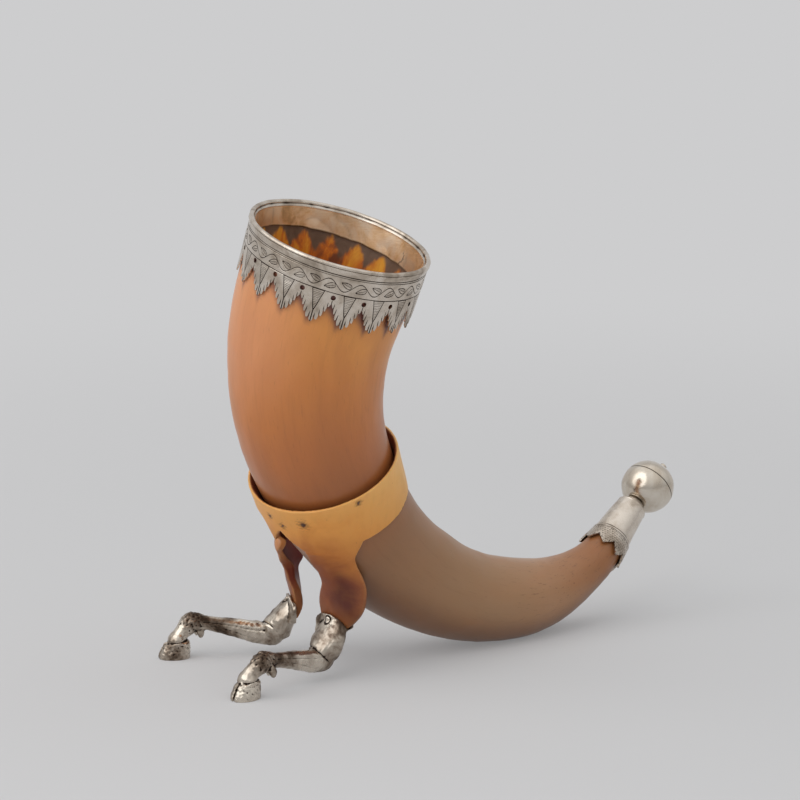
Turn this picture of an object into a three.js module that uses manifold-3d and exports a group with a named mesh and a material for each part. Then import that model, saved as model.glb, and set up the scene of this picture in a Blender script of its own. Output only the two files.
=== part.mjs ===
// A drinking horn: a cattle horn with a silver rim mount and tip mount, standing on its belly
// and on two cast silver cow's legs that are riveted to a collar cut from a wider horn.
// Millimetres, +Z up, +X towards the tip. The origin is where the horn's belly rests.
import * as THREE from "three";
import { mergeVertices } from "three/addons/utils/BufferGeometryUtils.js";
import Module from "manifold-3d";

const wasm = await Module();
wasm.setup();

// Horn: its centre line from mouth to tip, and its radius there as a share of the mouth's.
const HORN_MOUTH_RADIUS = 33.6;
const HORN_STATIONS = [
  { at: [-93, -36.5, 172], share: 1 },
  { at: [-100, -24.5, 131], share: 0.91 },
  { at: [-93.5, -16.5, 92.5], share: 0.815 },
  { at: [-68, -9.5, 51.5], share: 0.696 },
  { at: [-30, -4, 24.5], share: 0.57 },
  { at: [9, 1.5, 16], share: 0.464 },
  { at: [42, 8, 23.5], share: 0.277 },
  { at: [69, 19, 42], share: 0.167 },
];
const BELLY_WEAR = 0.4; // depth of the flat worn where the belly stands
const HORN_EDGE_WALL = 0.7; // wall at the mouth, scraped thin for the mount
const HORN_WALL = 2.6; // wall below the mount
const HORN_WALL_DEEP = 4.6; // wall where the hollow ends
const HORN_THINNED_LENGTH = 16;
const HOLLOW_LENGTH = 186;
const HOLLOW_TAPER_LENGTH = 26; // the hollow closes to a point over this length
const HOLLOW_END_ROWS = [0.5, 0.8, 0.96]; // its last rings, as shares of that length

// Fits between pieces.
const SEAT = 0.3;
const RIM_SEAT = 0.2; // round the horn's edge
const SHEET = 0.6; // thickness of the silver sheet

// Rim mount.
const BAND_DEPTH = 21.8; // from the horn's edge to the tips of the teeth
const BAND_TAPER = 0.6; // loss of radius from the band's edge to the tips
const TOOTH_COUNT = 18;
const TOOTH_LENGTH = 9;
const TOOTH_TURN_DEG = 2.7; // where the first gap sits, counted from the belly's side
const BAND_SKEW = 1; // the teeth reach this much further down on one side, less on the other
const BAND_SKEW_TURN_DEG = 207; // the side where they reach furthest
const TOOTH_LOBES = 3;
const TOOTH_LOBE_DEPTH = 0.7;
const LOBE_TIP = 0.78; // place of a lobe's point, as a share of its length
const TOOTH_TIP_WIDTH = 0.5;
const PIERCING_DIAMETER = 1.8;
const PIERCING_ABOVE_NOTCH = 2.8;
const LIP_HEIGHT = 2.4;
const LIP_OVERHANG = 0.6; // how far the lip stands out over the band
const LIP_SHOULDER = 0.45; // height of the lip's upright sides, as a share of its height
const LINER_DEPTH = 8;
const LINER_SHEET = 0.3;

// Collar: a slice of a wider horn that goes round the drinking horn, with two thighs.
const COLLAR_FROM_MOUTH = 93.2; // along the horn's line, to the collar's upper edge
const COLLAR_LEAN_DEG = 7; // how far the collar leans sideways on the horn
const COLLAR_PITCH_DEG = 2; // and backwards
const COLLAR_GAP = 1.8; // space round the horn at the collar's upper edge
const COLLAR_EDGE_WALL = 1.3;
const COLLAR_WALL = 2.8;
const BELT_HEIGHT = 20.5;
const BELT_TAPER = 0.8; // loss of radius down the belt
const BELT_EDGE_SHARE = 0.25; // the belt's top thins over this share of its height
// The arch between the thighs, cut up into the belt. Above 1 a flank is hollow, below 1 full.
const NOTCH_RISE = 9.6;
const NOTCH_TURN_DEG = 15; // the apex sits this far round to the near side
const NOTCH_APEX_SHARE = 0.07; // the apex is this blunt
const NOTCH_NEAR = { width: 8.2, hollow: 1.2 };
const NOTCH_FAR = { width: 7, hollow: 0.6 };

// Thighs: rows from the belt down to the end in the socket. In the belt, share is the place
// down its height and turn the place round it. Below it, x is the place along the horn, out
// the distance from the middle and turn the angle of the face from straight ahead. Front and
// back are the edges, counted along the face, and bow is the radius to which it is bent.
const NEAR_JOINT = [
  { share: 0.55, turn: 60, front: -20, back: 17 },
  { share: 1, turn: 60, front: -14.4, back: 10 },
];
const NEAR_UPPER = [
  { z: 50, x: -91.4, out: 30.5, turn: 60, front: -11.8, back: 7.2, wall: 3, bow: 34 },
  { z: 46, x: -90.3, out: 28.2, turn: 56, front: -10, back: 7.6, wall: 3, bow: 34 },
  { z: 42, x: -88.4, out: 26.5, turn: 51, front: -8.6, back: 8.3, wall: 3, bow: 34 },
  { z: 37, x: -86.6, out: 24.8, turn: 40, front: -8.8, back: 9.6, wall: 3.3, bow: 34 },
];
const FAR_JOINT = [
  { share: 0.55, turn: 52, front: -27, back: 17 },
  { share: 1, turn: 54, front: -27, back: 12 },
];
const FAR_UPPER = [
  { z: 50, x: -96.1, out: 12.5, turn: 28.4, front: -17.9, back: 17.9, wall: 3, bow: 90 },
  { z: 46, x: -93.3, out: 15.6, turn: 30, front: -15, back: 15, wall: 3, bow: 70 },
  { z: 42, x: -89.8, out: 18.3, turn: 32.7, front: -12.5, back: 12.5, wall: 3, bow: 50 },
  { z: 37, x: -85.9, out: 21.6, turn: 37.5, front: -10, back: 10, wall: 3.3, bow: 34 },
];
const THIGH_ROWS = [
  { z: 32, x: -86, out: 22.6, turn: 30, front: -10.2, back: 10.8, wall: 3.8, bow: 34 },
  { z: 27.5, x: -85.7, out: 20.8, turn: 25, front: -10.4, back: 11, wall: 4.1, bow: 34 },
  { z: 23.5, x: -85.2, out: 19.3, turn: 24, front: -9.2, back: 9.4, wall: 4.1, bow: 34 },
  { z: 19.5, x: -85.6, out: 17.9, turn: 24, front: -8, back: 6.4, wall: 3.6, bow: 34 },
  { z: 15.5, x: -87.2, out: 16.8, turn: 24, front: -5.6, back: 1.6, wall: 2.6, bow: 34 },
];
const SOCKET_ROW = 3; // the row that the socket's rim is laid out on
const RIVET_ROW = 2;
const THIGH_EDGE_SHARE = 0.35; // thickness left at the edges

// Legs: joints from the socket down to the hoof. x is the place along the horn, out the
// distance from the middle, deep and wide half the thickness lengthwise and sideways.
const LEG_UPPER = [
  { x: -86.4, out: 17.6, z: 22, deep: 2.4, wide: 4.2 },
  { x: -88.2, out: 18.1, z: 19, deep: 4.6, wide: 5.6 },
  { x: -91, out: 18.9, z: 14.6, deep: 5.8, wide: 6.6 },
  { x: -92.6, out: 21.2, z: 8.8, deep: 5.4, wide: 4.8 },
  { x: -94.2, out: 22.2, z: 4.6, deep: 2.2, wide: 2.4 },
];
const LEG_CANNON = [
  { x: -89.2, out: 20, z: 8, deep: 2.4, wide: 2.2 },
  { x: -92.6, out: 21.4, z: 8.4, deep: 5.2, wide: 4.3 },
  { x: -99, out: 24.2, z: 8.6, deep: 4.7, wide: 3.8 },
  { x: -109, out: 28, z: 11, deep: 3.7, wide: 3.1 },
  { x: -117.5, out: 31.2, z: 12.8, deep: 3, wide: 2.7 },
  { x: -124.3, out: 33.2, z: 13.6, deep: 4, wide: 3.8 },
  { x: -126.9, out: 33.5, z: 13.2, deep: 2, wide: 2 },
];
const LEG_PASTERN = [
  { x: -123.7, out: 33.2, z: 15.2, deep: 2, wide: 2 },
  { x: -124.3, out: 33.2, z: 13.6, deep: 4, wide: 3.8 },
  { x: -128.4, out: 32.8, z: 9.6, deep: 3.2, wide: 3.3 },
  { x: -130.2, out: 32.8, z: 6.8, deep: 4, wide: 4.4 },
  { x: -130.2, out: 32.8, z: 3, deep: 3.2, wide: 3.4 },
];
const DEWCLAW = [
  { x: -121.5, out: 0, z: 12.4, deep: 1, wide: 1 },
  { x: -120.9, out: 0, z: 9.4, deep: 1.7, wide: 1.7 },
  { x: -120.7, out: 0, z: 7.2, deep: 0.6, wide: 0.6 },
];
const DEWCLAW_SPREAD = 2; // distance of each dewclaw from the leg's middle
const HOOF_FORWARD = 1.2; // the hoof's middle lies this far ahead of the coronet
const HOOF_LENGTH = 12.5;
const HOOF_WIDTH = 9.6;
const HOOF_SPLAY_DEG = 16;
const CLEFT_WIDTH = 0.9;
// Hoof from the sole up: size as a share, shift of the middle backwards.
const HOOF_ROWS = [
  { z: 0, size: 1, shift: 0 },
  { z: 1.2, size: 1.02, shift: 0 },
  { z: 4, size: 0.92, shift: 0.6 },
  { z: 6.2, size: 0.82, shift: 1.3 },
  { z: 7.6, size: 0.6, shift: 1.8 },
];

// Socket at the top of each leg: the thigh's end stands in it.
const SOCKET_WALL = 1.2;
// Outline of the rim seen from outside: [forwards (negative) or backwards, height].
const SOCKET_OUTLINE = [
  [-18, 9], [-11, 18.2], [-8.4, 22.6], [-5, 24.5], [0, 24.4], [1.6, 22.8],
  [4.4, 18.4], [7.6, 15.8], [8.4, 14], [-2, 9],
];

// Pins.
const RIVET_DIAMETER = 2.2;
const RIVET_HEAD_HEIGHT = 0.5;
const RIVET_AT = { along: -2.6, z: 22.4 };
const COLLAR_PIN_DIAMETER = 1.6;
const COLLAR_PIN_DEPTH = 2; // how far a collar pin enters the horn's wall
const COLLAR_PIN_PROUD = 0.1;
const SIDE_PIN_DIAMETER = 2.4;
// Where the pins go through the belt: distance below its top edge, angle round it.
const COLLAR_PINS = [
  { name: "collar_pin_near", depth: 6.5, turn: -39, diameter: SIDE_PIN_DIAMETER },
  { name: "collar_pin_side", depth: 2.4, turn: -84, diameter: COLLAR_PIN_DIAMETER },
  { name: "collar_pin_front_upper", depth: 5.6, turn: -8.7, diameter: COLLAR_PIN_DIAMETER },
  { name: "collar_pin_front_lower", depth: 8.6, turn: -20, diameter: COLLAR_PIN_DIAMETER },
  { name: "collar_pin_far", depth: 6, turn: 95, diameter: COLLAR_PIN_DIAMETER },
];

// Tip mount.
const FERRULE_LENGTH = 27;
const SKIRT_LENGTH = 10.5; // the wider part of the ferrule, which ends in teeth
const SKIRT_PROUD = 0.5; // how far it stands out over the rest
const SKIRT_TEETH = 8;
const SKIRT_TOOTH_LENGTH = 3.8;
const SKIRT_TIP_WIDTH = 0.8;
const FERRULE_CAP = 1.4;
const FERRULE_CAP_ROUND = 0.5;
const FINIAL_NECK_LENGTH = 2.2;
const FINIAL_NECK_RADIUS = 4.2;
const FINIAL_NECK_WAIST = 3.6;
const FINIAL_SEAT_RADIUS = 3.3; // the ball sits on a rim of this radius
const BALL_DIAMETER = 22;
const BALL_SEAM = 1; // the seam lies this far from the ball's middle, towards the button
const BALL_SHEET = 0.8;
const BUTTON_RADIUS = 2.5;
const BUTTON_HEIGHT = 3;
const STUD_DIAMETER = 3;
const STUD_IN_HORN = 12;

// Facets.
const HORN_SIDES = 32;
const HORN_ROWS = 13; // from the mouth to the belly
const TAIL_ROWS = 7; // from the belly to the tip
const HOLLOW_ROWS = 9;
const RIM_SIDES = 48;
const BAND_SIDES = 36;
const BELT_SIDES = 36;
const THIGH_COLUMNS = 5;
const LIMB_SIDES = 10;
const DEWCLAW_SIDES = 6;
const TIP_SIDES = 20;
const PIN_SIDES = 8;

const radians = THREE.MathUtils.degToRad;
const vec = (x, y, z) => new THREE.Vector3(x, y, z);

// Solids: closed meshes made into manifolds, so that they can be cut and joined.
function solidOf(positions, triangles) {
  const make = (faces) =>
    new wasm.Manifold(
      new wasm.Mesh({
        numProp: 3,
        vertProperties: new Float32Array(positions.flatMap((p) => [p.x, p.y, p.z])),
        triVerts: new Uint32Array(faces.flat()),
      }),
    );
  const made = make(triangles);
  return made.volume() > 0 ? made : make(triangles.map(([a, b, c]) => [a, c, b]));
}

function solidFromGeometry(geometry) {
  const bare = new THREE.BufferGeometry();
  bare.setAttribute("position", geometry.getAttribute("position"));
  if (geometry.index) bare.setIndex(geometry.index);
  const merged = mergeVertices(bare, 1e-4);
  const place = merged.attributes.position;
  const positions = [];
  for (let i = 0; i < place.count; i++) positions.push(new THREE.Vector3().fromBufferAttribute(place, i));
  const index = merged.index.array;
  const triangles = [];
  for (let i = 0; i < index.length; i += 3) triangles.push([index[i], index[i + 1], index[i + 2]]);
  return solidOf(positions, triangles);
}

// Triangles that fill a loop of points, which may be bent like a crescent. They run the
// same way round as the loop does.
function capTriangles(loop, first) {
  const normal = vec(0, 0, 0);
  loop.forEach((p, i) => {
    const q = loop[(i + 1) % loop.length];
    normal.add(vec((p.y - q.y) * (p.z + q.z), (p.z - q.z) * (p.x + q.x), (p.x - q.x) * (p.y + q.y)));
  });
  normal.normalize();
  const across = Math.abs(normal.x) < 0.9 ? vec(1, 0, 0) : vec(0, 1, 0);
  across.cross(normal).normalize();
  const along = normal.clone().cross(across);
  const flat = loop.map((p) => new THREE.Vector2(p.dot(across), p.dot(along)));
  return THREE.ShapeUtils.triangulateShape(flat, []).map((face) => face.map((i) => i + first));
}

// A skin through loops of equally many points. It ends in flat caps, or joins up as a ring.
function loft(loops, ring = false) {
  const sides = loops[0].length;
  const triangles = [];
  const spans = ring ? loops.length : loops.length - 1;
  for (let k = 0; k < spans; k++) {
    for (let i = 0; i < sides; i++) {
      const a = k * sides + i;
      const b = k * sides + ((i + 1) % sides);
      const c = ((k + 1) % loops.length) * sides + i;
      const d = ((k + 1) % loops.length) * sides + ((i + 1) % sides);
      triangles.push([a, b, c], [b, d, c]);
    }
  }
  if (!ring) {
    const last = loops.length - 1;
    const start = capTriangles(loops[0], 0);
    triangles.push(...start.map(([a, b, c]) => [a, c, b]));
    triangles.push(...capTriangles(loops[last], last * sides));
  }
  return solidOf(loops.flat(), triangles);
}

const joined = (solids) => solids.reduce((all, one) => all.add(one));
const steps = (count, start, end) =>
  Array.from({ length: count + 1 }, (_, i) => start + ((end - start) * i) / count);

const hornLine = new THREE.CatmullRomCurve3(
  HORN_STATIONS.map(({ at }) => vec(...at)), false, "catmullrom", 0.5);
const hornShares = new THREE.CatmullRomCurve3(
  HORN_STATIONS.map(({ share }) => vec(share, 0, 0)), false, "catmullrom", 0.5);
hornLine.arcLengthDivisions = 1000;
const HORN_LENGTH = hornLine.getLength();

// The horn at a distance from its mouth: centre, tangent, the directions of its convex
// (belly) side and of its far side, and its outer radius.
function hornAt(distance) {
  const inside = THREE.MathUtils.clamp(distance, 0, HORN_LENGTH);
  const share = hornLine.getUtoTmapping(inside / HORN_LENGTH);
  const centre = hornLine.getPoint(share);
  const tangent = hornLine.getTangent(share);
  centre.addScaledVector(tangent, distance - inside);
  const side = vec(0, 1, 0).addScaledVector(tangent, -tangent.y).normalize();
  const belly = side.clone().cross(tangent);
  const radius = HORN_MOUTH_RADIUS * hornShares.getPoint(share).x;
  return { centre, tangent, side, belly, radius };
}

function ringPoint(frame, angle, radius) {
  return frame.centre
    .clone()
    .addScaledVector(frame.belly, radius * Math.cos(angle))
    .addScaledVector(frame.side, radius * Math.sin(angle));
}

const circle = (frame, radius, sides) =>
  steps(sides, 0, 2 * Math.PI).slice(0, -1).map((angle) => ringPoint(frame, angle, radius));

// Shifts the horn so that its worn belly lies on the origin, and says how far that is from
// the mouth.
function settleOnBelly() {
  let lowest = null;
  for (const distance of steps(2000, 0, HORN_LENGTH)) {
    const { centre, tangent, radius } = hornAt(distance);
    const down = vec(0, 0, -1).addScaledVector(tangent, tangent.z).normalize();
    const bottom = centre.clone().addScaledVector(down, radius);
    if (!lowest || bottom.z < lowest.bottom.z) lowest = { bottom, distance };
  }
  for (const point of hornLine.points) point.sub(lowest.bottom).add(vec(0, 0, -BELLY_WEAR));
  hornLine.updateArcLengths();
  return lowest.distance;
}
const bellyFromMouth = settleOnBelly();

// A prism with the given outline, in a plane square to the direction out.
// The outline's x runs along across and its y along up.
function prism(outline, origin, across, up, depth) {
  const geometry = new THREE.ExtrudeGeometry(new THREE.Shape(outline), {
    depth,
    bevelEnabled: false,
    curveSegments: 8,
  });
  const out = across.clone().cross(up);
  geometry.applyMatrix4(new THREE.Matrix4().makeBasis(across, up, out).setPosition(origin));
  return solidFromGeometry(geometry);
}

// A round rod or disc from one point to another.
function rod(from, to, radius, sides = PIN_SIDES) {
  const axis = to.clone().sub(from);
  const geometry = new THREE.CylinderGeometry(radius, radius, axis.length(), sides);
  const turn = new THREE.Quaternion().setFromUnitVectors(vec(0, 1, 0), axis.clone().normalize());
  geometry.applyQuaternion(turn);
  geometry.translate(...from.clone().lerp(to, 0.5).toArray());
  return solidFromGeometry(geometry);
}

// A profile of [radius, height] points turned about an axis.
function turned(profile, origin, axis, sides) {
  const geometry = new THREE.LatheGeometry(profile.map(([r, h]) => new THREE.Vector2(r, h)), sides);
  const turn = new THREE.Quaternion().setFromUnitVectors(vec(0, 1, 0), axis);
  geometry.applyQuaternion(turn);
  geometry.translate(origin.x, origin.y, origin.z);
  return solidFromGeometry(geometry);
}

// Horn body
function hornWall(distance) {
  if (distance < HORN_THINNED_LENGTH) {
    return THREE.MathUtils.lerp(HORN_EDGE_WALL, HORN_WALL, distance / HORN_THINNED_LENGTH);
  }
  const share = (distance - HORN_THINNED_LENGTH) / (HOLLOW_LENGTH - HORN_THINNED_LENGTH);
  return THREE.MathUtils.lerp(HORN_WALL, HORN_WALL_DEEP, share);
}

function hollowRadius(distance) {
  const full = hornAt(distance).radius - hornWall(distance);
  const closing = (distance - (HOLLOW_LENGTH - HOLLOW_TAPER_LENGTH)) / HOLLOW_TAPER_LENGTH;
  return closing > 0 ? full * Math.sqrt(1 - closing * closing) : full;
}

function makeHorn() {
  const rows = [
    ...steps(TAIL_ROWS, HORN_LENGTH, bellyFromMouth),
    ...steps(HORN_ROWS, bellyFromMouth, 0).slice(1),
  ];
  const outer = rows.map((distance) => {
    const frame = hornAt(distance);
    return circle(frame, frame.radius, HORN_SIDES);
  });
  const closed = HOLLOW_LENGTH - HOLLOW_TAPER_LENGTH;
  const depths = [
    0,
    LINER_DEPTH,
    ...steps(HOLLOW_ROWS, HORN_THINNED_LENGTH, closed),
    ...HOLLOW_END_ROWS.map((share) => closed + share * HOLLOW_TAPER_LENGTH),
  ];
  const inner = depths.map((distance) => circle(hornAt(distance), hollowRadius(distance), HORN_SIDES));
  const floor = new THREE.BoxGeometry(2 * HORN_LENGTH, HORN_LENGTH, 2 * HORN_MOUTH_RADIUS);
  floor.translate(0, 0, -HORN_MOUTH_RADIUS);
  return loft([...outer, ...inner]).subtract(solidFromGeometry(floor));
}

// Rim mount
const mouth = hornAt(0);
const bandOuter = mouth.radius + RIM_SEAT + SHEET;
const mouthFrame = (depth) => ({
  ...mouth,
  centre: mouth.centre.clone().addScaledVector(mouth.tangent, depth),
});

// The gap between two teeth, apex up at the origin, with scalloped sides.
function leafNotch() {
  const half = (Math.PI * mouth.radius) / TOOTH_COUNT;
  const side = [];
  for (let lobe = 0; lobe < TOOTH_LOBES; lobe++) {
    const start = lobe / TOOTH_LOBES;
    const end = (lobe + LOBE_TIP) / TOOTH_LOBES;
    side.push([half * start, -TOOTH_LENGTH * start]);
    side.push([half * end - TOOTH_LOBE_DEPTH, -TOOTH_LENGTH * end]);
  }
  const edge = half - TOOTH_TIP_WIDTH / 2;
  side.push([edge, -TOOTH_LENGTH], [edge, -TOOTH_LENGTH - 2]);
  const mirrored = side.slice(1).reverse().map(([x, y]) => [-x, y]);
  return [...side, ...mirrored].map(([x, y]) => new THREE.Vector2(x, y));
}

// A straight sleeve about the mouth's axis: its lower edge stands clear of the curved horn.
function makeRimBand() {
  const skew = (angle) => BAND_SKEW * Math.cos(angle - radians(BAND_SKEW_TURN_DEG));
  const top = (radius) => circle(mouthFrame(-SEAT), radius, BAND_SIDES);
  const tips = (radius) =>
    steps(BAND_SIDES, 0, 2 * Math.PI).slice(0, -1).map((angle) =>
      ringPoint(mouthFrame(BAND_DEPTH + skew(angle)), angle, radius));
  const blank = loft([
    top(bandOuter),
    tips(bandOuter - BAND_TAPER),
    tips(bandOuter - BAND_TAPER - SHEET),
    top(bandOuter - SHEET),
  ], true);
  const notch = leafNotch();
  const up = mouth.tangent.clone().negate();
  const reach = 4;
  const cuts = [];
  for (let i = 0; i < TOOTH_COUNT; i++) {
    const angle = ((i + 0.5) / TOOTH_COUNT) * 2 * Math.PI + radians(TOOTH_TURN_DEG);
    const apex = mouthFrame(BAND_DEPTH + skew(angle) - TOOTH_LENGTH);
    const out = ringPoint(apex, angle, 1).sub(apex.centre);
    const across = up.clone().cross(out);
    const origin = ringPoint(apex, angle, mouth.radius - reach);
    cuts.push(prism(notch, origin, across, up, 2 * reach));
    const hole = origin.clone().addScaledVector(up, PIERCING_ABOVE_NOTCH);
    const end = hole.clone().addScaledVector(out, 2 * reach);
    cuts.push(rod(hole, end, PIERCING_DIAMETER / 2, PIN_SIDES));
  }
  return blank.subtract(joined(cuts));
}

// Rounded bead over the edges of the horn, the band and the liner.
function makeRimLip() {
  const outside = bandOuter + LIP_OVERHANG;
  const inside = mouth.radius - HORN_EDGE_WALL - SEAT - LINER_SHEET;
  const middle = (outside + inside) / 2;
  const half = (outside - inside) / 2;
  const base = 2 * SEAT;
  const shoulder = base + LIP_SHOULDER * (LIP_HEIGHT - base);
  const profile = [[inside, base]];
  for (const turn of steps(5, Math.PI, 0)) {
    const height = shoulder + (LIP_HEIGHT - shoulder) * Math.sin(turn);
    profile.push([middle + half * Math.cos(turn), height]);
  }
  profile.push([outside, base], [inside, base]);
  return turned(profile, mouth.centre, mouth.tangent.clone().negate(), RIM_SIDES);
}

function makeRimLiner() {
  const row = (extra) => (distance) => {
    const inside = hollowRadius(Math.max(distance, 0)) - SEAT - extra;
    return circle(hornAt(distance), inside, RIM_SIDES);
  };
  return loft([
    ...[-SEAT, LINER_DEPTH].map(row(0)),
    ...[LINER_DEPTH, -SEAT].map(row(LINER_SHEET)),
  ], true);
}

// Collar
const collarTop = hornAt(COLLAR_FROM_MOUTH);
const collarAxis = collarTop.tangent
  .clone()
  .applyAxisAngle(collarTop.belly, radians(-COLLAR_LEAN_DEG))
  .applyAxisAngle(collarTop.side, radians(COLLAR_PITCH_DEG));
const collarRadius = collarTop.radius + COLLAR_GAP + COLLAR_EDGE_WALL;

function beltFrame(height) {
  const centre = collarTop.centre.clone().addScaledVector(collarAxis, height);
  const side = vec(0, 1, 0).addScaledVector(collarAxis, -collarAxis.y).normalize();
  const belly = side.clone().cross(collarAxis);
  const radius = collarRadius - (BELT_TAPER * height) / BELT_HEIGHT;
  return { centre, tangent: collarAxis, side, belly, radius };
}

function makeBelt() {
  const beltWall = (share) =>
    THREE.MathUtils.lerp(COLLAR_EDGE_WALL, COLLAR_WALL, Math.min(1, share / BELT_EDGE_SHARE));
  const row = (share, depth) => {
    const frame = beltFrame(share * BELT_HEIGHT);
    return circle(frame, frame.radius - depth, BELT_SIDES);
  };
  return loft([
    ...[0, 0.5, 1].map((share) => row(share, 0)),
    ...[1, BELT_EDGE_SHARE, 0].map((share) => row(share, beltWall(share))),
  ], true);
}

// One row of a thigh: the middle of its wall, the directions out of it and along it.
function thighRow({ x, out, z, turn, ...sizes }, side) {
  const angle = radians(turn);
  return {
    centre: vec(x, side * out, z),
    out: vec(-Math.cos(angle), side * Math.sin(angle), 0),
    along: vec(Math.sin(angle), side * Math.cos(angle), 0),
    ...sizes,
  };
}

function beltRow({ share, turn, front, back }, side) {
  const frame = beltFrame(share * BELT_HEIGHT);
  const angle = side * radians(turn);
  const middle = frame.radius - COLLAR_WALL / 2;
  const centre = ringPoint(frame, angle, middle);
  const out = ringPoint(frame, angle, 1).sub(frame.centre);
  const along = ringPoint(frame, angle + (side * Math.PI) / 2, 1).sub(frame.centre);
  return { centre, out, along, front, back, wall: COLLAR_WALL - 0.1, bow: middle };
}

// A bent slab round a row, its long edges rounded off.
function rowLoop(row, grow) {
  const half = row.wall / 2 + grow;
  const point = (share, offset) => {
    const along = THREE.MathUtils.lerp(row.front - grow, row.back + grow, share);
    const atEdge = share === 0 || share === 1;
    const radius = row.bow + offset * (atEdge ? THIGH_EDGE_SHARE : 1);
    const turn = along / row.bow;
    return row.centre
      .clone()
      .addScaledVector(row.out, radius * Math.cos(turn) - row.bow)
      .addScaledVector(row.along, radius * Math.sin(turn));
  };
  return [
    ...steps(THIGH_COLUMNS, 0, 1).map((share) => point(share, half)),
    ...steps(THIGH_COLUMNS, 1, 0).map((share) => point(share, -half)),
  ];
}

// Rows between the given ones, on smooth curves through them.
function fillRows(rows, each) {
  const curve = (pick) => new THREE.CatmullRomCurve3(rows.map(pick), false, "catmullrom", 0.5);
  const centre = curve((r) => r.centre);
  const out = curve((r) => r.out);
  const along = curve((r) => r.along);
  const edges = curve((r) => vec(r.front, r.back, r.wall));
  const bows = curve((r) => vec(r.bow, 0, 0));
  return steps((rows.length - 1) * each, 0, 1).map((t) => {
    const [front, back, wall] = edges.getPoint(t).toArray();
    const outward = out.getPoint(t).normalize();
    const lengthwise = along.getPoint(t);
    lengthwise.addScaledVector(outward, -lengthwise.dot(outward)).normalize();
    return {
      centre: centre.getPoint(t), out: outward, along: lengthwise,
      front, back, wall, bow: bows.getPoint(t).x,
    };
  });
}

function makeThigh(side, grow = 0) {
  const joint = side < 0 ? NEAR_JOINT : FAR_JOINT;
  const upper = side < 0 ? NEAR_UPPER : FAR_UPPER;
  const rows = [
    ...joint.map((row) => beltRow(row, side)),
    ...[...upper, ...THIGH_ROWS].map((row) => thighRow(row, side)),
  ];
  const loops = fillRows(rows, 2).map((row) => rowLoop(row, grow));
  if (grow > 0) loops.push(loops[loops.length - 1].map((p) => p.clone().add(vec(0, 0, -grow))));
  return loft(loops);
}

function makeNotch() {
  const end = beltFrame(BELT_HEIGHT);
  const angle = radians(-NOTCH_TURN_DEG);
  const out = ringPoint(end, angle, 1).sub(end.centre);
  const up = end.tangent.clone().negate();
  const across = up.clone().cross(out);
  const flank = ({ width, hollow }, way) => [
    ...steps(5, NOTCH_APEX_SHARE, 1).map((share) =>
      new THREE.Vector2(way * width * share ** hollow, NOTCH_RISE * (1 - share))),
    new THREE.Vector2(way * width, -1),
  ];
  const outline = [...flank(NOTCH_NEAR, 1), ...flank(NOTCH_FAR, -1).reverse()];
  const reach = 10;
  return prism(outline, ringPoint(end, angle, end.radius - reach), across, up, 2 * reach);
}

// The stretch of horn that the collar and the thighs lie round, with room about it.
function hornGrown(clearance) {
  const from = COLLAR_FROM_MOUTH - BELT_HEIGHT;
  const to = COLLAR_FROM_MOUTH + 3 * BELT_HEIGHT;
  return loft(steps(HOLLOW_ROWS, from, to).map((distance) => {
    const frame = hornAt(distance);
    return circle(frame, frame.radius + clearance, HORN_SIDES);
  }));
}

// Legs
const legPoint = ({ x, out, z }, side) => vec(x, side * out, z);

// A rounded limb through the given joints, flattened along the leg's upright plane.
function limb(joints, side, sides = LIMB_SIDES) {
  const path = new THREE.CatmullRomCurve3(
    joints.map((joint) => legPoint(joint, side)), false, "catmullrom", 0.5);
  const sizes = new THREE.CatmullRomCurve3(
    joints.map(({ deep, wide }) => vec(deep, wide, 0)), false, "catmullrom", 0.5);
  const hock = legPoint(LEG_CANNON[1], side);
  const fetlock = legPoint(LEG_PASTERN[1], side);
  const sideways = hock.sub(fetlock).cross(vec(0, 0, 1)).normalize();
  const loops = steps((joints.length - 1) * 2, 0, 1).map((share) => {
    const centre = path.getPoint(share);
    const tangent = path.getTangent(share);
    const size = sizes.getPoint(share);
    const wide = sideways.clone().addScaledVector(tangent, -sideways.dot(tangent)).normalize();
    const deep = tangent.clone().cross(wide);
    return steps(sides, 0, 2 * Math.PI).slice(0, -1).map((angle) =>
      centre.clone()
        .addScaledVector(deep, size.x * Math.cos(angle))
        .addScaledVector(wide, size.y * Math.sin(angle)));
  });
  return loft(loops);
}

// Half of a cloven hoof: rounded in front and outside, straight along the cleft.
function makeClaw(side, way) {
  const splay = radians(HOOF_SPLAY_DEG);
  const ahead = vec(-Math.cos(splay), side * Math.sin(splay), 0);
  const across = vec(0, 0, 1).cross(ahead).multiplyScalar(way);
  const coronet = legPoint(LEG_PASTERN[3], side).setZ(0);
  const width = (HOOF_WIDTH - CLEFT_WIDTH) / 2;
  return loft(HOOF_ROWS.map(({ z, size, shift }) =>
    steps(8, 0, Math.PI).map((angle) => {
      const forward = (HOOF_LENGTH / 2) * size * Math.cos(angle) + HOOF_FORWARD - shift;
      return coronet.clone()
        .addScaledVector(ahead, forward)
        .addScaledVector(across, CLEFT_WIDTH / 2 + width * size * Math.sin(angle))
        .setZ(z);
    })));
}

// The socket's wall: the thigh's end made larger, kept where the rim's outline is.
function makeSocket(side) {
  const row = thighRow(THIGH_ROWS[SOCKET_ROW], side);
  const reach = 14;
  const up = vec(0, 0, 1);
  const mirrored = side < 0 ? 1 : -1;
  const across = row.along.clone().multiplyScalar(mirrored);
  const outline = SOCKET_OUTLINE.map(([along, z]) => new THREE.Vector2(mirrored * along, z));
  const behind = across.clone().cross(up).multiplyScalar(-reach);
  const origin = row.centre.clone().setZ(0).add(behind);
  return makeThigh(side, SEAT + SOCKET_WALL).intersect(prism(outline, origin, across, up, 2 * reach));
}

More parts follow.
